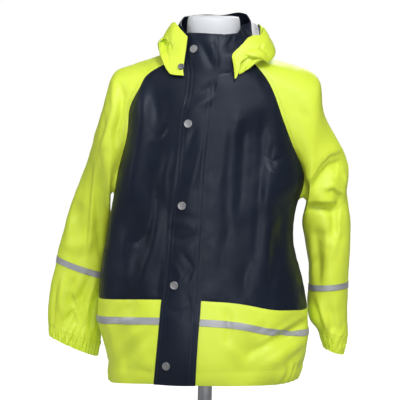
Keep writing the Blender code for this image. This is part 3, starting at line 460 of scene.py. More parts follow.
class Shell:
    """A fine copy of a cloth solid's outer side, in millimetres: its points, their facings and how far
    each lies from the nearest seam or edge. It is given its thickness when its creases are in."""

    def __init__(self, node, levels, thinnest=1.57, thickest=1.63, finer=None):
        self.node, self.piece = node, cloth_quads(node, "coat_" + node, thinnest, thickest)
        apply_modifier(self.piece, "SUBSURF", levels=levels, render_levels=levels,
                       boundary_smooth="PRESERVE_CORNERS")
        mesh = self.piece.data
        if finer:
            shape = bmesh.new()
            shape.from_mesh(mesh)
            edges = [edge for edge in shape.edges if all(finer(vertex.co / MM) for vertex in edge.verts)]
            bmesh.ops.subdivide_edges(shape, edges=edges, cuts=1, use_grid_fill=True)
            shape.to_mesh(mesh)
            shape.free()
            mesh.update()
        points = np.empty(len(mesh.vertices) * 3)
        mesh.vertices.foreach_get("co", points)
        self.at = points.reshape(-1, 3) / MM
        mesh.vertices.foreach_get("normal", points)
        self.facing = points.reshape(-1, 3).copy()
        shape = bmesh.new()
        shape.from_mesh(mesh)
        self.rim = np.array([[vertex.index for vertex in edge.verts]
                             for edge in shape.edges if edge.is_boundary])
        shape.free()
        tree = tree_of_points(self.at, np.unique(self.rim))
        found = [tree.find(point) for point in self.at]
        self.rim_point = np.array([place for _, place, _ in found])
        self.from_seam = np.array([distance for _, _, distance in found])
        self.move = np.zeros_like(self.at)
        ties = np.empty(len(mesh.edges) * 2, int)
        mesh.edges.foreach_get("vertices", ties)
        self.ties = ties.reshape(-1, 2)

    def relax(self, weight, rounds):
        """Evens the cloth out where the weight, from 0 to 1 at each point, is high. Its seams stay."""
        points = self.at + self.move
        count = np.bincount(self.ties.ravel(), minlength=len(points))
        weight = RELAX_STEP * weight * rounded_step(self.from_seam / RELAX_FREE)
        for _ in range(rounds):
            for axis in range(3):
                line = points[:, axis].copy()
                points[:, axis] += weight * (sums_beside(self.ties, line) / count - line)
        self.at, self.move = points, np.zeros_like(points)
        mesh, facing = self.piece.data, np.empty(points.size)
        mesh.vertices.foreach_set("co", (points * MM).ravel())
        mesh.update()
        mesh.vertices.foreach_get("normal", facing)
        self.facing = facing.reshape(-1, 3)

    def even_edges(self, rounds):
        """Evens the edges out along themselves."""
        ring = np.unique(self.rim)
        count = np.bincount(self.rim.ravel(), minlength=len(self.at))[ring]
        for _ in range(rounds):
            for axis in range(3):
                line = self.at[:, axis].copy()
                self.at[ring, axis] = (line[ring] + sums_beside(self.rim, line)[ring] / count) / 2

    def push(self, rise, shared=False):
        """Moves the cloth along its facing, or near a seam along a direction that both sides share."""
        toward = self.facing
        if shared:
            middle = self.at * (0, 0, 1)
            middle[:, 2] = np.minimum(middle[:, 2], 600)
            radial = self.at - middle
            radial /= np.linalg.norm(radial, axis=1)[:, None]
            near = np.exp(-((self.from_seam / 10) ** 2))[:, None]
            toward = self.facing * (1 - near) + radial * near
            toward /= np.linalg.norm(toward, axis=1)[:, None]
        self.move += toward * np.asarray(rise)[:, None]

    def join_to(self, *nodes):
        """Draws the edges over to those of pieces already made, where they lie close to each other."""
        others = np.concatenate([SEAMS[node] for node in nodes])
        tree, shift = tree_of_points(others, range(len(others))), np.zeros_like(self.at)
        for place in np.unique(self.rim):
            point = self.at[place] + self.move[place]
            spot, _, distance = tree.find(point)
            if SEAM_GAP < distance < JOIN_REACH:
                shift[place] = (np.array(spot) - point) * (1 - SEAM_GAP / distance)
        self.move += shift[self.rim_point] * (1 - rounded_step(self.from_seam / JOIN_FADE))[:, None]

    def done(self, outside, inside, wall=1.6):
        first, second = (self.at + self.move)[self.rim.T]
        SEAMS[self.node] = np.concatenate([first + (second - first) * part for part in (0, 0.25, 0.5, 0.75)])
        SHELLS[self.node] = self
        mesh = self.piece.data
        mesh.vertices.foreach_set("co", ((self.at + self.move) * MM).ravel())
        mesh.update()
        mesh.materials.append(outside)
        mesh.materials.append(inside)
        apply_modifier(self.piece, "SOLIDIFY", thickness=wall * MM, offset=-1.0, material_offset=1)
        mesh = self.piece.data
        mesh.shade_smooth()
        mesh.set_sharp_from_angle(angle=radians(60))
        return self.piece


def rounded_step(value):
    value = np.clip(value, 0, 1)
    return value * value * (3 - 2 * value)


def beside_line(points, line):
    """The distance of each point from a line of (x, height), positive on its left, how far along the
    line that is, and how long the line is."""
    seen, line = points[:, (0, 2)], np.array(line, float)
    runs = np.diff(line, axis=0)
    lengths = np.hypot(*runs.T)
    starts = np.concatenate([[0], np.cumsum(lengths)])
    signed, along = np.full(len(seen), np.inf), np.zeros(len(seen))
    for number, (run, length) in enumerate(zip(runs, lengths)):
        offset = seen - line[number]
        part = np.clip(offset @ run / length**2, 0, 1)
        gap = offset - part[:, None] * run
        distance = np.hypot(*gap.T)
        closer = distance < abs(signed)
        left = run[0] * offset[:, 1] - run[1] * offset[:, 0] > 0
        signed[closer] = np.where(left, distance, -distance)[closer]
        along[closer] = (starts[number] + part * length)[closer]
    return signed, along, starts[-1]


def crease_rise(points, creases):
    """How far soft creases lift each point. Each is (rise, width on its left, width on its right, line
    of (x, height)), and dies away towards both ends of its line."""
    total = np.zeros(len(points))
    for rise, left_width, right_width, line in creases:
        signed, along, length = beside_line(points, line)
        width = np.where(signed > 0, left_width, right_width)
        taper = min(40.0, 0.4 * length)
        ends = rounded_step(along / taper + 0.25) * rounded_step((length - along) / taper + 0.25)
        total += rise * ends * np.exp(-((signed / width) ** 2))
    return total


def ripples(points, wave, seed):
    """Uneven waviness between -1 and 1, in waves of about this length in millimetres."""
    rng = np.random.default_rng(seed)
    total = np.zeros(len(points))
    for _ in range(9):
        way = rng.normal(size=3)
        way /= np.linalg.norm(way)
        bend = rng.normal(size=3) / wave * 1.7
        reach = 2 * pi / (wave * rng.uniform(0.7, 1.6))
        total += np.sin(points @ way * reach + 1.4 * np.sin(points @ bend) + rng.uniform(0, 6.28))
    return total / 9 * 1.6


# Creases of the coat's front, on the fronts and the bands: (rise, left width, right width, line).
FRONT_CREASES = (
    (3.0, 12, 7, ((-109, 690), (-110, 641), (-118, 586), (-127, 530), (-132, 508))),
    (-1.6, 10, 14, ((-98, 690), (-86, 652), (-80, 600), (-88, 540))),
    (3.0, 10, 8, ((-80, 520), (-83, 477), (-88, 441), (-99, 414), (-110, 370))),
    (-2.8, 7, 12, ((-96, 560), (-92, 500), (-106, 440))),
    (-2.0, 7, 10, ((-60, 440), (-72, 390), (-80, 350))),
    (1.6, 6, 10, ((-128, 470), (-134, 430), (-132, 380))),
    (-1.6, 4, 6, ((-96, 470), (-112, 452), (-128, 448))),
    (-1.4, 4, 6, ((-66, 640), (-78, 622), (-96, 612))),
    (1.6, 5, 7, ((-62, 600), (-72, 560), (-70, 520))),
    (2.8, 13, 8, ((42, 660), (38, 587), (35, 500))),
    (-2.8, 6, 12, ((52, 650), (50, 587), (46, 500))),
    (2.4, 8, 13, ((91, 560), (93, 470), (88, 402), (84, 372))),
    (-2.6, 9, 7, ((82, 650), (80, 560), (76, 476), (74, 430))),
    (-1.2, 3, 6, ((99, 612), (96, 590), (103, 574))),
    (-1.1, 3, 5, ((84, 600), (98, 584), (116, 590))),
    (1.0, 3, 5, ((90, 574), (101, 566), (112, 560))),
    (-1.8, 6, 10, ((108, 520), (116, 492), (112, 460))),
    (2.0, 8, 11, ((130, 520), (127, 460), (118, 400))),
    (-2.0, 6, 9, ((102, 470), (106, 420), (98, 372))),
    (-1.8, 6, 10, ((64, 430), (58, 396), (62, 366))),
    (-1.3, 6, 10, ((30, 480), (24, 440), (20, 400))),
    (1.4, 6, 10, ((24, 640), (20, 580), (14, 530))),
    (-1.4, 5, 7, ((32, 560), (28, 500), (34, 450))),
    (-1.0, 3, 5, ((44, 372), (60, 366), (80, 364))),
    # the bands
    (-2.6, 5, 7, ((33, 356), (36, 322), (34, 288))),
    (5.0, 12, 5, ((166, 344), (132, 324), (104, 310), (70, 290))),
    (-8.0, 4, 14, ((164, 328), (128, 310), (100, 297), (58, 272))),
    (4.0, 9, 8, ((156, 296), (124, 282), (92, 262))),
    (-3.4, 5, 8, ((158, 284), (134, 266), (120, 250))),
    (-2.6, 5, 8, ((96, 330), (84, 318), (66, 314))),
    (2.2, 6, 7, ((24, 300), (44, 286), (60, 262))),
    (-2.6, 5, 7, ((-122, 356), (-136, 338), (-150, 322))),
    (-3.8, 6, 9, ((-84, 314), (-106, 288), (-126, 262), (-129, 240))),
    (3.0, 8, 8, ((-104, 318), (-126, 294), (-146, 262))),
    (-2.0, 3, 6, ((-156, 304), (-154, 276))),
    (-1.8, 5, 7, ((-110, 250), (-84, 244), (-62, 246))),
    (-1.8, 5, 7, ((-66, 300), (-72, 280), (-96, 268))),
)
# Creases of the coat's back: long shallow runs from the shoulders and short ones at the waist.
BACK_CREASES = (
    (-2.6, 10, 14, ((-62, 650), (-58, 560), (-66, 440))),
    (2.6, 13, 10, ((34, 660), (42, 560), (30, 430))),
    (-2.2, 8, 13, ((92, 620), (84, 520), (96, 420))),
    (2.2, 11, 8, ((-104, 620), (-98, 520), (-112, 400))),
    (-1.8, 6, 10, ((-20, 560), (-12, 500), (-24, 420))),
    (1.6, 8, 8, ((66, 470), (58, 420), (62, 372))),
    (-1.8, 5, 7, ((118, 560), (104, 530), (84, 522))),
    (-1.6, 5, 6, ((-122, 560), (-106, 536), (-88, 530))),
    (-2.0, 8, 11, ((-90, 350), (-104, 310), (-96, 260))),
    (-2.2, 8, 10, ((20, 352), (34, 310), (26, 256))),
    (-1.8, 6, 11, ((104, 344), (92, 300), (104, 262))),
    (1.8, 8, 10, ((-36, 340), (-24, 296), (-34, 256))),
)
SEAM_DIP, SEAM_DIP_WIDTH = 0.9, 2.6
PUCKER, PUCKER_REACH = 0.5, 7.0


# The storm flap's free edge and sewn edge; the fronts lie flat between them.
FLAP_FREE = ((-82, 215), (-73, 360), (-64, 482), (-55, 567), (-53, 609), (-50, 659), (-41, 702), (-42, 800))
FLAP_SEWN = ((-16, 215), (-10, 360), (-7, 484), (-5, 553), (5, 680), (14, 784), (14, 800))


def beside_flap(shell):
    x, height = shell.at[:, 0], shell.at[:, 2]
    free = np.interp(height, [z for _, z in FLAP_FREE], [edge for edge, _ in FLAP_FREE])
    sewn = np.interp(height, [z for _, z in FLAP_SEWN], [edge for edge, _ in FLAP_SEWN])
    clear = np.maximum(free - x, x - sewn)
    return rounded_step(clear / 9) * (shell.facing[:, 1] < 0.2) + (shell.facing[:, 1] >= 0.2)


def body_creases(shell):
    ahead = rounded_step((0.25 - shell.facing[:, 1]) / 0.6)
    rise = crease_rise(shell.at, FRONT_CREASES) * ahead * beside_flap(shell)
    rise += crease_rise(shell.at, BACK_CREASES) * (1 - ahead)
    shell.push(rise * rounded_step(shell.from_seam / 14) + body_ripples(shell.at))
    sewn_edges(shell)


def body_ripples(points):
    return 0.6 * ripples(points * (1, 1, 0.4), 40, 3)


def sewn_edges(shell):
    """A seam lies a little deeper than the cloth beside it, and the cloth puckers there."""
    dip = -SEAM_DIP * np.exp(-((shell.from_seam / SEAM_DIP_WIDTH) ** 2))
    beside = np.exp(-(((shell.from_seam - 4) / PUCKER_REACH) ** 2)) * rounded_step(shell.from_seam / 3)
    shell.push(dip + PUCKER * beside * ripples(shell.at, 13, 8), shared=True)


# coated cloth: a pebbled skin, long shallow unevenness where it has been folded, and its faint dirt
coating, ends_in, ends_out = node_group(
    "coated_skin", {"Height": "Float", "Unevenness": "Float"}, {"Pebble Scale": 1500.0, "Fold Scale": 55.0}
)
pebbles = noise_node(coating, ends_in.outputs["Pebble Scale"], 2.0, 0.5)
waves = noise_node(coating, ends_in.outputs["Fold Scale"], 3.0, 0.55)
coating.links.new(math_node(coating, "ADD", math_node(coating, "MULTIPLY", pebbles, 0.22), waves),
                  ends_out.inputs["Height"])
coating.links.new(waves, ends_out.inputs["Unevenness"])


def coated_cloth(name, dark, light, roughness, coat, specular, painted_glow=0.0, uneven=0.0005):
    material, nodes, links, shader = plain_material(name, light, roughness)
    shader.inputs["Coat Weight"].default_value = coat
    shader.inputs["Coat Roughness"].default_value = 0.34
    shader.inputs["Specular IOR Level"].default_value = specular
    shader.inputs["Specular Tint"].default_value = (0.80, 0.88, 1.0, 1)
    skin = group_node(nodes, coating)
    use = group_node(nodes, scuffs, Smear_Scale=11.0)
    worn = ramp_node(nodes, links, use.outputs["Smear"], 0, 1)
    links.new(mixed_colour(nodes, links, worn, dark, light), shader.inputs["Base Color"])
    links.new(ramp_node(nodes, links, skin.outputs["Unevenness"], roughness - 0.06, roughness + 0.07),
              shader.inputs["Roughness"])
    links.new(bump_node(nodes, links, skin.outputs["Height"], uneven, 0.6), shader.inputs["Normal"])
    # painted glow: the cloth gives off a faint light of its own, in its own colours, as painted brightness
    if painted_glow:
        links.new(mixed_colour(nodes, links, worn, dark, light), shader.inputs["Emission Color"])
        shader.inputs["Emission Strength"].default_value = painted_glow
    return material


navy = coated_cloth("navy_coated_fabric", (0.0056, 0.0084, 0.0165), (0.0090, 0.0130, 0.0255), 0.42,
                    coat=0.0, specular=0.20)
# the yellow gets a painted glow, a faint light of its own standing in for its fluorescent brightness
yellow = coated_cloth("yellow_coated_fabric", (0.60, 0.735, 0.042), (0.66, 0.79, 0.062), 0.48,
                      coat=0.04, specular=0.42, painted_glow=0.05)

backing, nodes, links, shader = plain_material("white_knit_backing", (0.72, 0.72, 0.74), 0.85)
knit = group_node(nodes, jersey, Loop_Scale=1100.0)
use = group_node(nodes, scuffs, Smear_Scale=20.0)
links.new(mixed_colour(nodes, links, use.outputs["Smear"], (0.62, 0.62, 0.64), (0.80, 0.80, 0.82)),
          shader.inputs["Base Color"])
links.new(bump_node(nodes, links, knit.outputs["Height"], 0.0004, 0.6), shader.inputs["Normal"])

for name, flat, area in (("front_right", (0.19, 0.42), 0.060), ("front_left", (0.24, 0.43), 0.077)):
    front = Shell(name, 3)
    front.relax(np.ones(len(front.at)), 40)
    body_creases(front)
    piece = front.done(navy, backing)
    kept(piece, "navy_coated_fabric", name)


# ---------------------------------------------------------------------------------------------- back
# One navy back, cut in one piece from neckline to hem band, hanging free behind the form.

back = Shell("back", 3)
body_creases(back)
back.join_to("front_right", "front_left")
piece = back.done(navy, backing)
kept(piece, "navy_coated_fabric", "back")


# ----------------------------------------------------------------------------------------- hem bands
# Three yellow bands round the hem, turned up inside and topstitched as a casing. The back one holds an
# elastic, so it is gathered, and the gathers run on to the front at the wearer's left side.

CASING_LINE = 250.0


def casing(shell):
    """The stitched groove above a turned-up hem, and the short pleats that the turned-up part takes."""
    line = CASING_LINE + 5 * (shell.at[:, 0] > 0)
    off_line = shell.at[:, 2] - line
    low = rounded_step((line - shell.at[:, 2]) / 12)
    shell.push(-0.9 * np.exp(-((off_line / 2.6) ** 2)) + 0.7 * low)
    turn = np.arctan2(shell.at[:, 1], shell.at[:, 0])
    beside = np.exp(-(((shell.at[:, 0] - 134) / 24) ** 2)) * (shell.facing[:, 1] < 0.4)
    pleats = np.sin(turn * 44 + 1.5 * np.sin(turn * 13)) * beside * rounded_step((268 - shell.at[:, 2]) / 22)
    shell.push(2.4 * pleats * rounded_step(shell.from_seam / 4 + 0.3))


for name, flat, area in (
    ("band_front_right", (0.20, 0.13), 0.024),
    ("band_front_left", (0.26, 0.14), 0.034),
    ("band_back", (0.52, 0.13), 0.058),
):
    band = Shell(name, 3)
    body_creases(band)
    casing(band)
    band.join_to(*(node for node in SEAMS if node.startswith(("front", "back", "band"))))
    piece = band.done(yellow, backing)
    kept(piece, "yellow_coated_fabric", name)


# ------------------------------------------------------------------------------------------- sleeves
# Raglan sleeves of the yellow cloth, each one piece sewn along the underarm, set into the body from the
# neckline to the armpit. They hang empty, so they fold at the armpit and the elbow.

SLEEVE_WALL = 1.2
SLEEVE_CREASES = {
    "right": (
        (4.3, 8, 6, ((-156, 706), (-154, 655), (-172, 590), (-184, 540))),
        (-4.3, 5, 8, ((-150, 704), (-141, 679), (-141, 645), (-149, 625), (-150, 590))),
        (-2.6, 5, 8, ((-176, 664), (-172, 630), (-182, 600))),
        (-4.1, 5, 6, ((-172, 596), (-178, 544), (-180, 510), (-177, 464), (-171, 408))),
        (3.5, 5, 5, ((-182, 566), (-186, 528), (-189, 470), (-193, 413))),
        (-4.1, 5, 7, ((-188, 572), (-192, 528), (-196, 470), (-200, 406))),
        (2.3, 8, 8, ((-204, 600), (-214, 540), (-224, 470), (-228, 420))),
        (-4.9, 4, 7, ((-188, 388), (-200, 352), (-205, 300))),
        (3.5, 4, 4, ((-180, 380), (-190, 345), (-196, 304))),
        (-3.8, 3, 5, ((-172, 366), (-182, 330), (-186, 290))),
        (-4.3, 4, 7, ((-213, 384), (-219, 351), (-210, 322))),
        (-3.8, 3, 4, ((-228, 308), (-217, 324), (-208, 298))),
        (3.2, 6, 5, ((-232, 380), (-236, 345), (-232, 312))),
        (-2.3, 3, 5, ((-243, 372), (-246, 340), (-248, 304))),
    ),
    "left": (
        (5.0, 14, 4, ((144, 526), (158, 554), (171, 577), (186, 593), (204, 597), (219, 588))),
        (-6.0, 4, 14, ((148, 514), (165, 541), (179, 563), (191, 576), (206, 580), (217, 572))),
        (7.0, 13, 5, ((142, 519), (160, 520), (176, 520), (192, 519), (208, 515))),
        (-8.0, 4, 8, ((142, 509), (160, 507), (178, 507), (196, 505), (209, 504))),
        (-3.8, 3, 8, ((180, 529), (196, 534), (206, 525), (206, 508))),
        (2.6, 6, 3, ((176, 537), (196, 542), (211, 531), (213, 512))),
        (-3.6, 5, 5, ((205, 516), (201, 500), (200, 481), (202, 458))),
        (2.4, 5, 8, ((209, 508), (207, 480), (208, 452))),
        (-2.8, 5, 8, ((171, 472), (176, 420), (180, 374))),
        (2.0, 8, 5, ((163, 470), (168, 420), (172, 380))),
        (-1.8, 5, 7, ((188, 472), (192, 452), (190, 430))),
        (-1.8, 6, 7, ((214, 466), (210, 436), (206, 418))),
        (-3.0, 4, 6, ((167, 364), (181, 322), (196, 286))),
        (2.2, 6, 4, ((176, 358), (190, 320), (200, 290))),
        (-2.4, 5, 6, ((196, 350), (202, 326), (209, 296))),
        (-1.6, 6, 6, ((214, 352), (218, 324), (219, 300))),
        (-1.8, 9, 9, ((140, 668), (160, 640), (166, 600))),
        (1.8, 12, 12, ((120, 712), (150, 676), (184, 634))),
        (-1.4, 8, 8, ((208, 600), (212, 640), (204, 660))),
    ),
}
SLEEVE_BACK_CREASES = {
    "right": (
        (-2.6, 5, 7, ((-178, 640), (-190, 590), (-200, 540))),
        (2.4, 6, 5, ((-190, 545), (-214, 477), (-218, 427))),
        (-2.2, 4, 6, ((-205, 372), (-214, 330), (-218, 300))),
        (-2.4, 5, 6, ((-168, 560), (-186, 540), (-206, 536))),
        (2.0, 5, 5, ((-180, 440), (-190, 400), (-192, 360))),
    ),
    "left": (
        (-3.4, 5, 6, ((166, 556), (186, 572), (214, 566))),
        (2.4, 6, 5, ((160, 530), (186, 536), (212, 528))),
        (-2.4, 5, 6, ((170, 506), (190, 512), (208, 508))),
        (-2.2, 5, 6, ((200, 478), (206, 440), (204, 400))),
        (-1.8, 4, 5, ((184, 360), (190, 330), (188, 300))),
    ),
}
# how many gathers go round each cuff, and how high they are
CUFF_GATHERS = {"right": (20, 1.4), "left": (16, 0.9)}


def cuff_turn(shell, side):
    """How far round the cuff each point is, as an angle. The cuff is oval and lies askew."""
    ring = np.array([vertex.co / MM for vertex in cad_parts["cuff_" + side].data.vertices])
    _, spread, ways = np.linalg.svd(ring - ring.mean(axis=0), full_matrices=False)
    off = (shell.at - ring.mean(axis=0)) @ ways[:2].T / spread[:2]
    angles = np.linspace(-pi, pi, 361)
    lengths = np.cumsum(np.hypot(spread[0] * np.sin(angles), spread[1] * np.cos(angles)))
    return np.interp(np.arctan2(off[:, 1], off[:, 0]), angles, 2 * pi * lengths / lengths[-1])


def gathers(turn, side):
    """The uneven pleats that the cuff's elastic makes, round the sleeve's end and round its casing."""
    shift = {"right": 0.0, "left": 2.0}[side]
    number, height = CUFF_GATHERS[side]
    waves = np.sin(turn * number + 1.2 * np.sin(turn * 4 + shift) + shift)
    swell = 0.8 + 0.35 * np.sin(turn * 3 + 1 + shift)
    return height * (waves * swell + 0.25 * np.sin(turn * 9 + 2 * shift))


for side in ("right", "left"):
    sleeve = Shell("sleeve_" + side, 3)
    out, height = abs(sleeve.at[:, 0]), sleeve.at[:, 2]
    corner = {"right": (149, 706, 4.5), "left": (172, 698, 2.5)}[side]
    bend = corner[2] * np.exp(-(((out - corner[0]) ** 2 + (height - corner[1]) ** 2) / 18**2))
    sleeve.at[:, 0] += 0.7 * bend * np.sign(sleeve.at[:, 0])
    sleeve.at[:, 2] += 0.7 * bend
    fore = rounded_step((-0.15 - sleeve.facing[:, 1]) / 0.3)
    upper = rounded_step((height - 500) / 50) * rounded_step((690 - height) / 40) * fore
    armpit = rounded_step((75 - np.hypot(out - 150, height - 535)) / 30)
    sleeve.relax(np.maximum(upper, armpit), {"right": 40, "left": 130}[side])
    ahead, behind = (rounded_step((-0.12 + way * sleeve.facing[:, 1]) / 0.5) for way in (-1, 1))
    rise = crease_rise(sleeve.at, SLEEVE_CREASES[side]) * ahead
    rise += crease_rise(sleeve.at, SLEEVE_BACK_CREASES[side]) * behind
    rise *= rounded_step((np.hypot(out - 150, height - 527) - 8) / 22)
    sleeve.push(rise * rounded_step(sleeve.from_seam / 16) + body_ripples(sleeve.at)
                + 0.5 * ripples(sleeve.at, 30, 5) * rounded_step(sleeve.from_seam / 25))
    low = rounded_step((400 - sleeve.at[:, 2]) / 20)
    sleeve.push(gathers(cuff_turn(sleeve, side), side) * np.exp(-sleeve.from_seam / 17) * low)
    sewn_edges(sleeve)
    sleeve.join_to("front_" + side, "back")
    piece = sleeve.done(yellow, backing, SLEEVE_WALL)
    kept(piece, "yellow_coated_fabric", "sleeve_" + side)


# --------------------------------------------------------------------------------------------- cuffs
# Narrow casings at the sleeves' ends, gathered by the elastic inside them.

CUFF_WALL = 1.0
for side in ("right", "left"):
    cuff = Shell("cuff_" + side, 3, 1.27, 1.33)
    cuff.even_edges(12)
    cuff.relax(np.ones(len(cuff.at)), 16)
    cuff.push(gathers(cuff_turn(cuff, side), side))
    cuff.join_to("sleeve_" + side)
    piece = cuff.done(yellow, yellow, CUFF_WALL)
    kept(piece, "yellow_coated_fabric", "cuff_" + side)


# -------------------------------------------------------------------------------------------- collar
# A stand collar of the navy cloth, doubled, open at the front and standing off the form's neck.

COLLAR_CREASES = (
    (-2.6, 4, 6, ((52, 784), (36, 768), (22, 752))),
    (2.0, 5, 4, ((58, 776), (44, 758), (30, 744))),
    (-1.8, 3, 5, ((34, 790), (30, 772), (20, 760))),
    (-1.6, 4, 5, ((-60, 790), (-56, 768), (-60, 750))),
)
collar = Shell("collar", 3)
x, height = collar.at[:, 0], collar.at[:, 2]
lean = np.exp(-(((x - 54) / 10) ** 2) - (((height - 788) / 11) ** 2))
lean *= rounded_step((0 - collar.at[:, 1]) / 20)
collar.at[:, 0] -= 7 * lean
front = rounded_step((x - 12) / 6) * rounded_step((52 - x) / 8) * rounded_step((-30 - collar.at[:, 1]) / 8)
collar.at[:, 2] += 1.5 * front * rounded_step((height - 755) / 12)
collar.at[:, 2] += rounded_step((height - 770) / 30) * (5.5 * np.exp(-(((x - 42) / 17) ** 2))
                                                        - 1.5 * np.exp(-(((x - 6) / 14) ** 2)))
ahead = rounded_step((0.35 - collar.facing[:, 1]) / 0.7)
collar.push(crease_rise(collar.at, COLLAR_CREASES) * ahead * rounded_step(collar.from_seam / 8)
            + body_ripples(collar.at))
sewn_edges(collar)
collar.join_to("front_right", "front_left", "back", "sleeve_right", "sleeve_left")
piece = collar.done(navy, navy)
kept(piece, "navy_coated_fabric", "collar")


# ---------------------------------------------------------------------------------------- storm flap
# A doubled strip of the navy cloth over the front closure, sewn down along the wearer's left edge and
# closed with five snaps near its free edge.

FLAP_CREASES = (
    (-3.0, 5, 7, ((-24, 774), (-12, 752), (0, 728))),
    (2.4, 6, 5, ((-6, 770), (4, 748), (8, 728))),
    (-2.6, 6, 8, ((-46, 673), (-20, 690), (12, 706))),
    (2.2, 7, 6, ((-44, 655), (-16, 672), (8, 684))),
    (-2.4, 6, 8, ((-22, 641), (-40, 590), (-52, 530))),
    (2.0, 7, 6, ((-12, 620), (-24, 570), (-34, 522))),
    (-1.8, 4, 4, ((-64, 493), (-40, 496), (-13, 491))),
    (1.4, 4, 5, ((-62, 482), (-38, 484), (-15, 478))),
    (-2.0, 4, 5, ((-62, 463), (-40, 460), (-17, 466))),
    (-2.2, 4, 6, ((-42, 440), (-24, 416), (-34, 390))),
    (1.6, 4, 5, ((-56, 424), (-42, 402), (-50, 380))),
    (-1.2, 4, 5, ((-66, 350), (-44, 346), (-20, 352))),
    (-1.4, 4, 6, ((-34, 380), (-26, 352), (-30, 320))),
)
flap = Shell("storm_flap", 3, 1.9, 4.6)
flap_side = rounded_step(flap.from_seam / 6)
flap.push(crease_rise(flap.at, FLAP_CREASES) * flap_side * 0.8 + body_ripples(flap.at))
edge_line = np.exp(-(((flap.from_seam - 5) / 1.6) ** 2))
edge_line += 0.8 * np.exp(-(((flap.from_seam - 11) / 1.4) ** 2))
flap.push(-0.55 * edge_line)
piece = flap.done(navy, navy, wall=2.0)
kept(piece, "navy_coated_fabric", "storm_flap")


# ---------------------------------------------------------------------------------------------- hood
# Two halves of a detachable yellow hood, joined at the centre back and hanging open behind the collar.
# The right one stands up in a peak with a fold open below it; the left one's edge is turned back flat.

HOOD_WALL, FOLD_DEPTH, LIP_RISE = 1.2, 12, 2.5
# how far the front part's low edge is raised: (distance from the middle, millimetres)
LOW_EDGE_LIFT = {
    "right": ((42, 4), (60, 1), (67, 0), (72, 4), (77, 10), (80, 15), (84, 17), (90, 13)),
    "left": ((36, 13), (40, 13), (46, 13), (58, 17), (66, 21), (72, 19), (78, 15), (84, 4), (90, 0)),
}
LOW_EDGE = ((38, 713.5), (46.4, 719.5), (58, 729), (70.5, 738), (79, 742), (88, 740), (101, 739))
SECOND_LAYER = ((50, 748), (57.3, 747), (75.3, 743), (88, 739), (101, 736))
# the turned-back band: its inner and its outer edge as (x, y, height), from the low tip upwards
TURNED_BAND = (
    ((34.9, -79.5, 716), (35.2, -80.5, 713), (37, -81, 711.5)),
    ((33.4, -76.5, 729), (37.4, -78.5, 727.5), (41.4, -78.0, 726)),
    ((31.2, -72.0, 741), (37.2, -74.5, 740), (43.4, -74.0, 737)),
    ((30.8, -68.5, 750.5), (40.0, -70.5, 746), (48.0, -70.0, 742)),
    ((39.6, -65.5, 760), (49.0, -66.5, 754.5), (57.4, -65.5, 748.5)),
    ((48.6, -59.5, 769.5), (58.5, -60.5, 763.5), (67.6, -59.5, 758)),
    ((55.4, -53.5, 776.5), (65.5, -53.5, 771.5), (76.2, -51.0, 766)),
    ((66.0, -46.0, 780), (73.0, -45.0, 776.5), (80.2, -43.0, 772.5)),
    ((74.5, -40.0, 779.5), (78.0, -39.5, 778), (82.0, -38.5, 775.5)),
)
# the white inside of the crushed peak behind it
SHOWN_LINING = (
    ((44, -22, 764), (54, -20, 768), (64, -24, 772), (72, -28, 775)),
    ((48, -14, 776), (56, -12, 778), (65, -16, 781), (71, -22, 783)),
    ((50, -8, 787), (57, -6, 788), (65, -9, 789), (70, -16, 790)),
    ((50, -2, 796), (56, 0, 797), (63, -2, 797), (69, -8, 796.5)),
)


def strip(name, rows, wall, outside, inside):
    """A piece of cloth through the listed rows of points, in millimetres."""
    across = len(rows[0])
    points = np.array(rows, float).reshape(-1, 3)
    faces = [(row * across + place, row * across + place + 1, (row + 1) * across + place + 1,
              (row + 1) * across + place) for row in range(len(rows) - 1) for place in range(across - 1)]
    mesh = bpy.data.meshes.new(name)
    mesh.from_pydata((smoothed_through(points, faces, ()) * MM).tolist(), [], faces)
    mesh.materials.append(outside)
    mesh.materials.append(inside)
    piece = bpy.data.objects.new(name, mesh)
    bpy.context.collection.objects.link(piece)
    apply_modifier(piece, "SUBSURF", levels=3, render_levels=3)
    apply_modifier(piece, "SOLIDIFY", thickness=wall * MM, offset=0.0, material_offset=1)
    piece.data.shade_smooth()
    piece.data.set_sharp_from_angle(angle=radians(60))
    return piece


def lift_low_edge(shell, side):
    """Raises the low edge of a hood half's front part; returns where that part is, from 0 to 1."""
    ahead = rounded_step((8 - shell.at[:, 1]) / 30)
    out = abs(shell.at[:, 0])
    low_now = np.interp(out, (36, 48, 54, 66, 72, 78, 84, 90), (710, 711, 713, 717, 720, 724, 737, 749))
    part = np.clip((shell.at[:, 2] - low_now) / 45, 0, 1)
    shell.at[:, 2] += ahead * (1 - part) * np.interp(out, *np.array(LOW_EDGE_LIFT[side], float).T)
    return ahead


def tree_of(*names):
    """Something to aim at: the faces of finished pieces, in metres."""
    points, faces = [], []
    for name in names:
        mesh = bpy.data.objects[name].data
        first = len(points)
        points += [vertex.co.copy() for vertex in mesh.vertices]
        faces += [[first + place for place in face.vertices] for face in mesh.polygons]
    return BVHTree.FromPolygons(points, faces)


def lie_on(shell, weight, gap, *names):
    """Brings the cloth forward where it would touch the pieces behind it."""
    tree = tree_of(*names)
    for place in np.flatnonzero(weight > 0.02):
        point = shell.at[place] + shell.move[place]
        spot = tree.ray_cast(Vector((point[0] * MM, -0.4, point[2] * MM)), Vector((0, 1, 0)))[0]
        if spot is not None:
            shell.move[place, 1] -= weight[place] * max(0.0, point[1] - (spot.y / MM - gap))


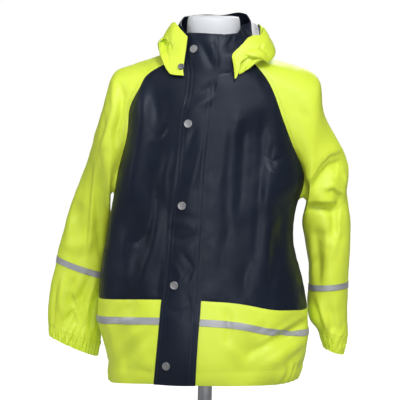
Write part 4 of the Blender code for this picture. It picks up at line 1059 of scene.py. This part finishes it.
for side in ("right", "left"):
    hood = Shell("hood_" + side, 3, finer=lambda point: point.y < 15)
    ahead = lift_low_edge(hood, side)
    x, height = hood.at[:, 0], hood.at[:, 2]
    if side == "left":
        # the front edge and the upper corner lie hidden behind the turned-back band
        hood.at[:, 0] += 4 * rounded_step((50 - x) / 14) * ahead
        top = np.interp(x, (30, 55, 62, 70, 76, 84), (752, 774, 775, 777, 782, 800))
        over = np.clip(height - top, 0, None) * rounded_step((-8 - hood.at[:, 1]) / 14)
        height -= over * 0.95
        hood.relax(ahead * 0.5, 4)
        below = beside_line(hood.at, SECOND_LAYER)[0]
        layer = rounded_step(0.5 + below / 3.0)
        low_edge = np.interp(x, *np.array(LOW_EDGE).T)
        lip = rounded_step((height - low_edge) / 5 - 0.4)
        rise = 2.5 * layer * np.exp(-((below - 5) / 6) ** 2) - (1 - layer) * 6.0 * lip
        rise += crease_rise(hood.at, ((-2.4, 3, 4, ((70, 770), (78, 758), (94, 748))),
                                      (1.8, 4, 4, ((66, 757), (82, 753), (96, 755)))))
        hood.push(rise * ahead * rounded_step((88 - x) / 8))
    else:
        hood.relax(ahead * 0.5, 4)
        rise = crease_rise(hood.at, (
            (-2.6, 2.5, 4, ((-71, 765), (-68, 760), (-67, 755))),
            (-2.2, 2.5, 3.5, ((-72, 752), (-72, 738), (-68, 724))),
            (1.8, 4, 3, ((-77, 748), (-76, 738), (-72, 726))),
            (1.6, 6, 6, ((-60, 792), (-66, 776), (-62, 762))),
        ))
        hood.push(rise * ahead * rounded_step(hood.from_seam / 3))
    hood.push(0.8 * ripples(hood.at, 30, 31) * rounded_step(hood.from_seam / 14))
    sewn_edges(hood)
    lie_on(hood, rounded_step((-10 - hood.at[:, 1]) / 15), 2.6,
           "coat_front_" + side, "coat_sleeve_" + side, "coat_collar")
    if side == "right":
        # the open fold: the cloth under the lip goes into it and comes out again lower down
        lip_at = np.interp(x, (-84, -80, -76, -72, -68), (767, 770, 770, 767, 761))
        under = rounded_step((lip_at - height) / 2.2) * rounded_step((height - 745) / 12)
        across = rounded_step((x + 85) / 2.0) * rounded_step((-70.5 - x) / 3.0)
        facing_out = rounded_step((-0.1 - hood.facing[:, 1]) / 0.2)
        hood.move[:, 1] += FOLD_DEPTH * under * across * facing_out
        hood.move[:, 1] -= LIP_RISE * np.exp(-(((height - lip_at - 3) / 4) ** 2)) * across * facing_out
    piece = hood.done(yellow, backing, HOOD_WALL)
    if side == "left":
        extras = (strip("turned_band", TURNED_BAND, HOOD_WALL, yellow, backing),
                  strip("shown_lining", SHOWN_LINING, 1.0, backing, yellow))
        deselect()
        for extra in (*extras, piece):
            extra.select_set(True)
        bpy.context.view_layer.objects.active = piece
        bpy.ops.object.join()
    kept(piece, "yellow_coated_fabric", "hood_" + side)


# ---------------------------------------------------------------------------------------------- tape
# Silver-grey reflective tape, a band of glass beads on cloth, sewn round the hem band and the sleeves.

tape_cloth, nodes, links, shader = plain_material("reflective_tape", (0.36, 0.37, 0.39), 0.45, 0.1)
beads = group_node(nodes, jersey, Loop_Scale=2600.0)
use = group_node(nodes, scuffs, Smear_Scale=30.0)
links.new(mixed_colour(nodes, links, ramp_node(nodes, links, use.outputs["Smear"], 0, 1),
                       (0.33, 0.34, 0.36), (0.41, 0.42, 0.44)), shader.inputs["Base Color"])
links.new(bump_node(nodes, links, beads.outputs["Height"], 0.0001, 0.4), shader.inputs["Normal"])


TAPE_LIFT = 0.85 * MM
for name, under, flat in (
    ("tape_front_right", "coat_band_front_right", (0.17, 0.012)),
    ("tape_front_left", "coat_band_front_left", (0.19, 0.012)),
    ("tape_back", "coat_band_back", (0.48, 0.012)),
    ("tape_sleeve_right", "coat_sleeve_right", (0.28, 0.012)),
    ("tape_sleeve_left", "coat_sleeve_left", (0.28, 0.012)),
):
    tape = Shell(name, 3, 0.45, 0.55)
    tree = tree_of(under)
    for place, (point, facing) in enumerate(zip(tape.at, tape.facing)):
        start = Vector(point * MM) + Vector(facing) * 0.012
        spot = tree.ray_cast(start, -Vector(facing), 0.03)[0] or tree.find_nearest(Vector(point * MM))[0]
        tape.move[place] = np.array(spot + Vector(facing) * TAPE_LIFT) / MM - point
    piece = tape.done(tape_cloth, tape_cloth, 0.5)
    kept(piece, "reflective_tape", name)


# ------------------------------------------------------------------------------------------ stitches
# Rows of lockstitch in thread of the cloth's own shade, each stitch a small rounded bar that lies on the
# cloth: along the flap, the casings, the raglan seams and the tapes.

def thread(name, dark, light):
    material, nodes, links, shader = plain_material(name, light, 0.6)
    use = group_node(nodes, scuffs, Smear_Scale=300.0)
    links.new(mixed_colour(nodes, links, use.outputs["Smear"], dark, light), shader.inputs["Base Color"])
    twist = noise_node(material.node_tree, 2600.0, 1.0)
    links.new(bump_node(nodes, links, twist, 0.0001, 0.5), shader.inputs["Normal"])
    return material


navy_thread = thread("navy_thread", (0.010, 0.013, 0.024), (0.045, 0.052, 0.075))
yellow_thread = thread("yellow_thread", (0.36, 0.43, 0.03), (0.52, 0.61, 0.05))
grey_thread = thread("grey_thread", (0.17, 0.18, 0.20), (0.28, 0.29, 0.31))
STITCH_PITCH, STITCH_LENGTH, STITCH_WIDTH, STITCH_HEIGHT = 3.0, 2.1, 0.55, 0.30
bar = [(cos(turn) * along_width, along, sin(turn) * along_width)
       for along, along_width in ((-0.5, 0.35), (-0.28, 1.0), (0.28, 1.0), (0.5, 0.35))
       for turn in (radians(angle) for angle in (0, 60, 120, 180))]
BAR_FACES = [(row * 4 + place, row * 4 + place + 1, row * 4 + place + 5, row * 4 + place + 4)
             for row in range(3) for place in range(3)]


def edge_row(node, inward, keep):
    """A row of places at a distance inside the edge of a finished piece, in order along it, where keep
    says so of (x, y, height)."""
    shell = SHELLS[node]
    ring = {}
    for first, second in shell.rim:
        ring.setdefault(first, []).append(second)
        ring.setdefault(second, []).append(first)
    rows, left = [], set(ring)
    while left:
        start = min(left)
        path, place = [start], start
        left.discard(start)
        while True:
            onward = [other for other in ring[place] if other in left]
            if not onward:
                break
            place = onward[0]
            left.discard(place)
            path.append(place)
        rows.append(path + [start])
    finished = shell.at + shell.move
    inside = tree_of_points(finished, np.flatnonzero(shell.from_seam > 0.3))
    for path in rows:
        line = []
        for number, place in enumerate(path):
            point = finished[place]
            before, after = finished[path[number - 1]], finished[path[(number + 1) % len(path)]]
            across = np.cross(after - before, shell.facing[place])
            inner_side = np.sign(across @ (np.array(inside.find(point)[0]) - point))
            across *= inner_side / (np.linalg.norm(across) + 1e-9)
            if keep(point):
                line.append(point + across * inward + 1.5 * shell.facing[place])
            elif line:
                yield np.array(line)
                line = []
        if line:
            yield np.array(line)


def sew(name, material, under, lines, toward=None):
    """One piece with all the stitches of these lines, laid on the pieces under them."""
    tree = tree_of(*under)
    points, faces = [], []
    for line in lines:
        if len(line) < 2:
            continue
        lengths = np.linalg.norm(np.diff(line, axis=0), axis=1)
        starts = np.concatenate([[0], np.cumsum(lengths)])
        spots = np.arange(STITCH_PITCH / 2, starts[-1], STITCH_PITCH)
        for spot in spots:
            ends = [np.array([np.interp(spot + shift, starts, line[:, axis]) for axis in range(3)])
                    for shift in (-STITCH_LENGTH / 2, STITCH_LENGTH / 2)]
            middle = Vector((ends[0] + ends[1]) / 2) * MM
            found, normal = tree.find_nearest(middle)[:2]
            if toward is not None:
                found, normal = tree.ray_cast(Vector((middle.x, -0.4, middle.z)), Vector((0, 1, 0)))[:2]
            if found is None:
                continue
            along = (Vector(ends[1]) - Vector(ends[0])).normalized()
            side = along.cross(normal).normalized()
            along = normal.cross(side).normalized()
            first = len(points)
            for across, forward, up in bar:
                points.append(found + (side * (across * STITCH_WIDTH / 2) + along * (forward * STITCH_LENGTH)
                                       + normal * (up * STITCH_HEIGHT)) * MM)
            faces += [[first + place for place in face] for face in BAR_FACES]
    mesh = bpy.data.meshes.new(name)
    mesh.from_pydata(points, [], faces)
    mesh.materials.append(material)
    piece = bpy.data.objects.new(name, mesh)
    bpy.context.collection.objects.link(piece)
    mesh.shade_smooth()
    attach(piece, "root")


def front_line(line, step=2.0):
    """A line of (x, height) over the front, as places a step apart."""
    line = np.array(line, float)
    lengths = np.hypot(*np.diff(line, axis=0).T)
    starts = np.concatenate([[0], np.cumsum(lengths)])
    spots = np.arange(0, starts[-1], step)
    x, height = (np.interp(spots, starts, line[:, axis]) for axis in range(2))
    return np.column_stack([x, 0 * spots, height])


flap_sides = [front_line([(x + shift, z) for x, z in line if z < 790])
              for line, shifts in ((FLAP_SEWN, (-4, -11)), (FLAP_FREE, (4,))) for shift in shifts]
sew("stitches_flap", navy_thread, ["coat_storm_flap"], flap_sides, "front")
for name, under, line in (
    ("hem_right", "coat_band_front_right", ((-153, 248), (-120, 251), (-84, 250))),
    ("hem_left", "coat_band_front_left", ((-14, 253), (60, 255), (100, 256), (132, 258))),
):
    sew("stitches_" + name, yellow_thread, [under], [front_line(line)], "front")
for side in ("right", "left"):
    rows = list(edge_row("sleeve_" + side, 5.0, lambda point: point[2] > 500))
    sew("stitches_raglan_" + side, yellow_thread, ["coat_sleeve_" + side], rows)
    rows = list(edge_row("sleeve_" + side, 1.6, lambda point: point[2] < 400))
    sew("stitches_cuff_" + side, yellow_thread, ["coat_sleeve_" + side], rows)
for node in ("tape_front_right", "tape_front_left", "tape_back", "tape_sleeve_right", "tape_sleeve_left"):
    sew("stitches_" + node, grey_thread, [node], edge_row(node, 1.1, lambda point: True))


# --------------------------------------------------------------------------------------------- snaps
# Five pressed steel snap caps on the flap and two dark enamelled ones on the hood's corners.

def snap_cap(name, node, under, radius, finish, slot, aside=0.0):
    """A cap on the cloth in front of its solid's middle, facing as the cloth does round about."""
    low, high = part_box(node)
    middle = (Vector(low) + Vector(high)) / 2 + Vector((aside, 0, 0))
    tree, axis = tree_of(under), Vector()
    for across, up in ((0, 0), (-1, 0), (1, 0), (0, -1), (0, 1)):
        start = Vector((middle.x + across * radius, -0.4, middle.z + up * radius))
        spot, normal, _, _ = tree.ray_cast(start, Vector((0, 1, 0)))
        if spot is not None:
            axis += normal
            foot = spot if (across, up) == (0, 0) else foot
    axis.normalize()
    deselect()
    bpy.ops.mesh.primitive_cylinder_add(vertices=48, radius=radius, depth=2.2 * MM,
                                        location=(0, 0, 1.1 * MM))
    cap = bpy.context.object
    cap.name = name
    bpy.ops.object.transform_apply(location=True, rotation=True, scale=True)
    bpy.ops.object.mode_set(mode="EDIT")
    bpy.ops.mesh.select_mode(type="FACE")
    shape = bmesh.from_edit_mesh(cap.data)
    for face in shape.faces:
        face.select_set(face.normal.z > 0.9)
    bmesh.update_edit_mesh(cap.data)
    for thickness, depth in ((0.14, 0.0003), (0.12, -0.0002), (0.3, -0.00025), (0.25, 0.0001)):
        bpy.ops.mesh.inset(thickness=radius * thickness, depth=depth)
    bpy.ops.object.mode_set(mode="OBJECT")
    apply_modifier(cap, "BEVEL", width=0.0003, segments=2, limit_method="ANGLE", angle_limit=radians(25))
    place = Matrix.Translation(foot + axis * 0.3 * MM) @ axis.to_track_quat("Z", "Y").to_matrix().to_4x4()
    cap.data.transform(place)
    cap.data.materials.append(finish)
    cap.data.shade_smooth()
    cap.data.set_sharp_from_angle(angle=radians(50))
    kept(cap, slot, node)


snap_steel = metal("snap_steel", (0.27, 0.27, 0.28), (0.38, 0.38, 0.40), 0.52, (1, 1, 1), 1400.0)
snap_dark, nodes, links, shader = plain_material("snap_dark", (0.09, 0.09, 0.10), 0.42, 0.4)
use = group_node(nodes, scuffs, Smear_Scale=120.0)
links.new(mixed_colour(nodes, links, use.outputs["Smear"], (0.06, 0.06, 0.07), (0.16, 0.16, 0.17)),
          shader.inputs["Base Color"])
for number in range(1, 6):
    snap_cap(f"cap_flap_{number}", f"snap_flap_{number}", "coat_storm_flap", 6.5 * MM, snap_steel,
             "snap_metal")
snap_cap("cap_hood_right", "snap_hood_right", "coat_hood_right", 5.0 * MM, snap_dark, "snap_grey", 4 * MM)
snap_cap("cap_hood_left", "snap_hood_left", "coat_collar", 5.0 * MM, snap_dark, "snap_grey", -3.5 * MM)
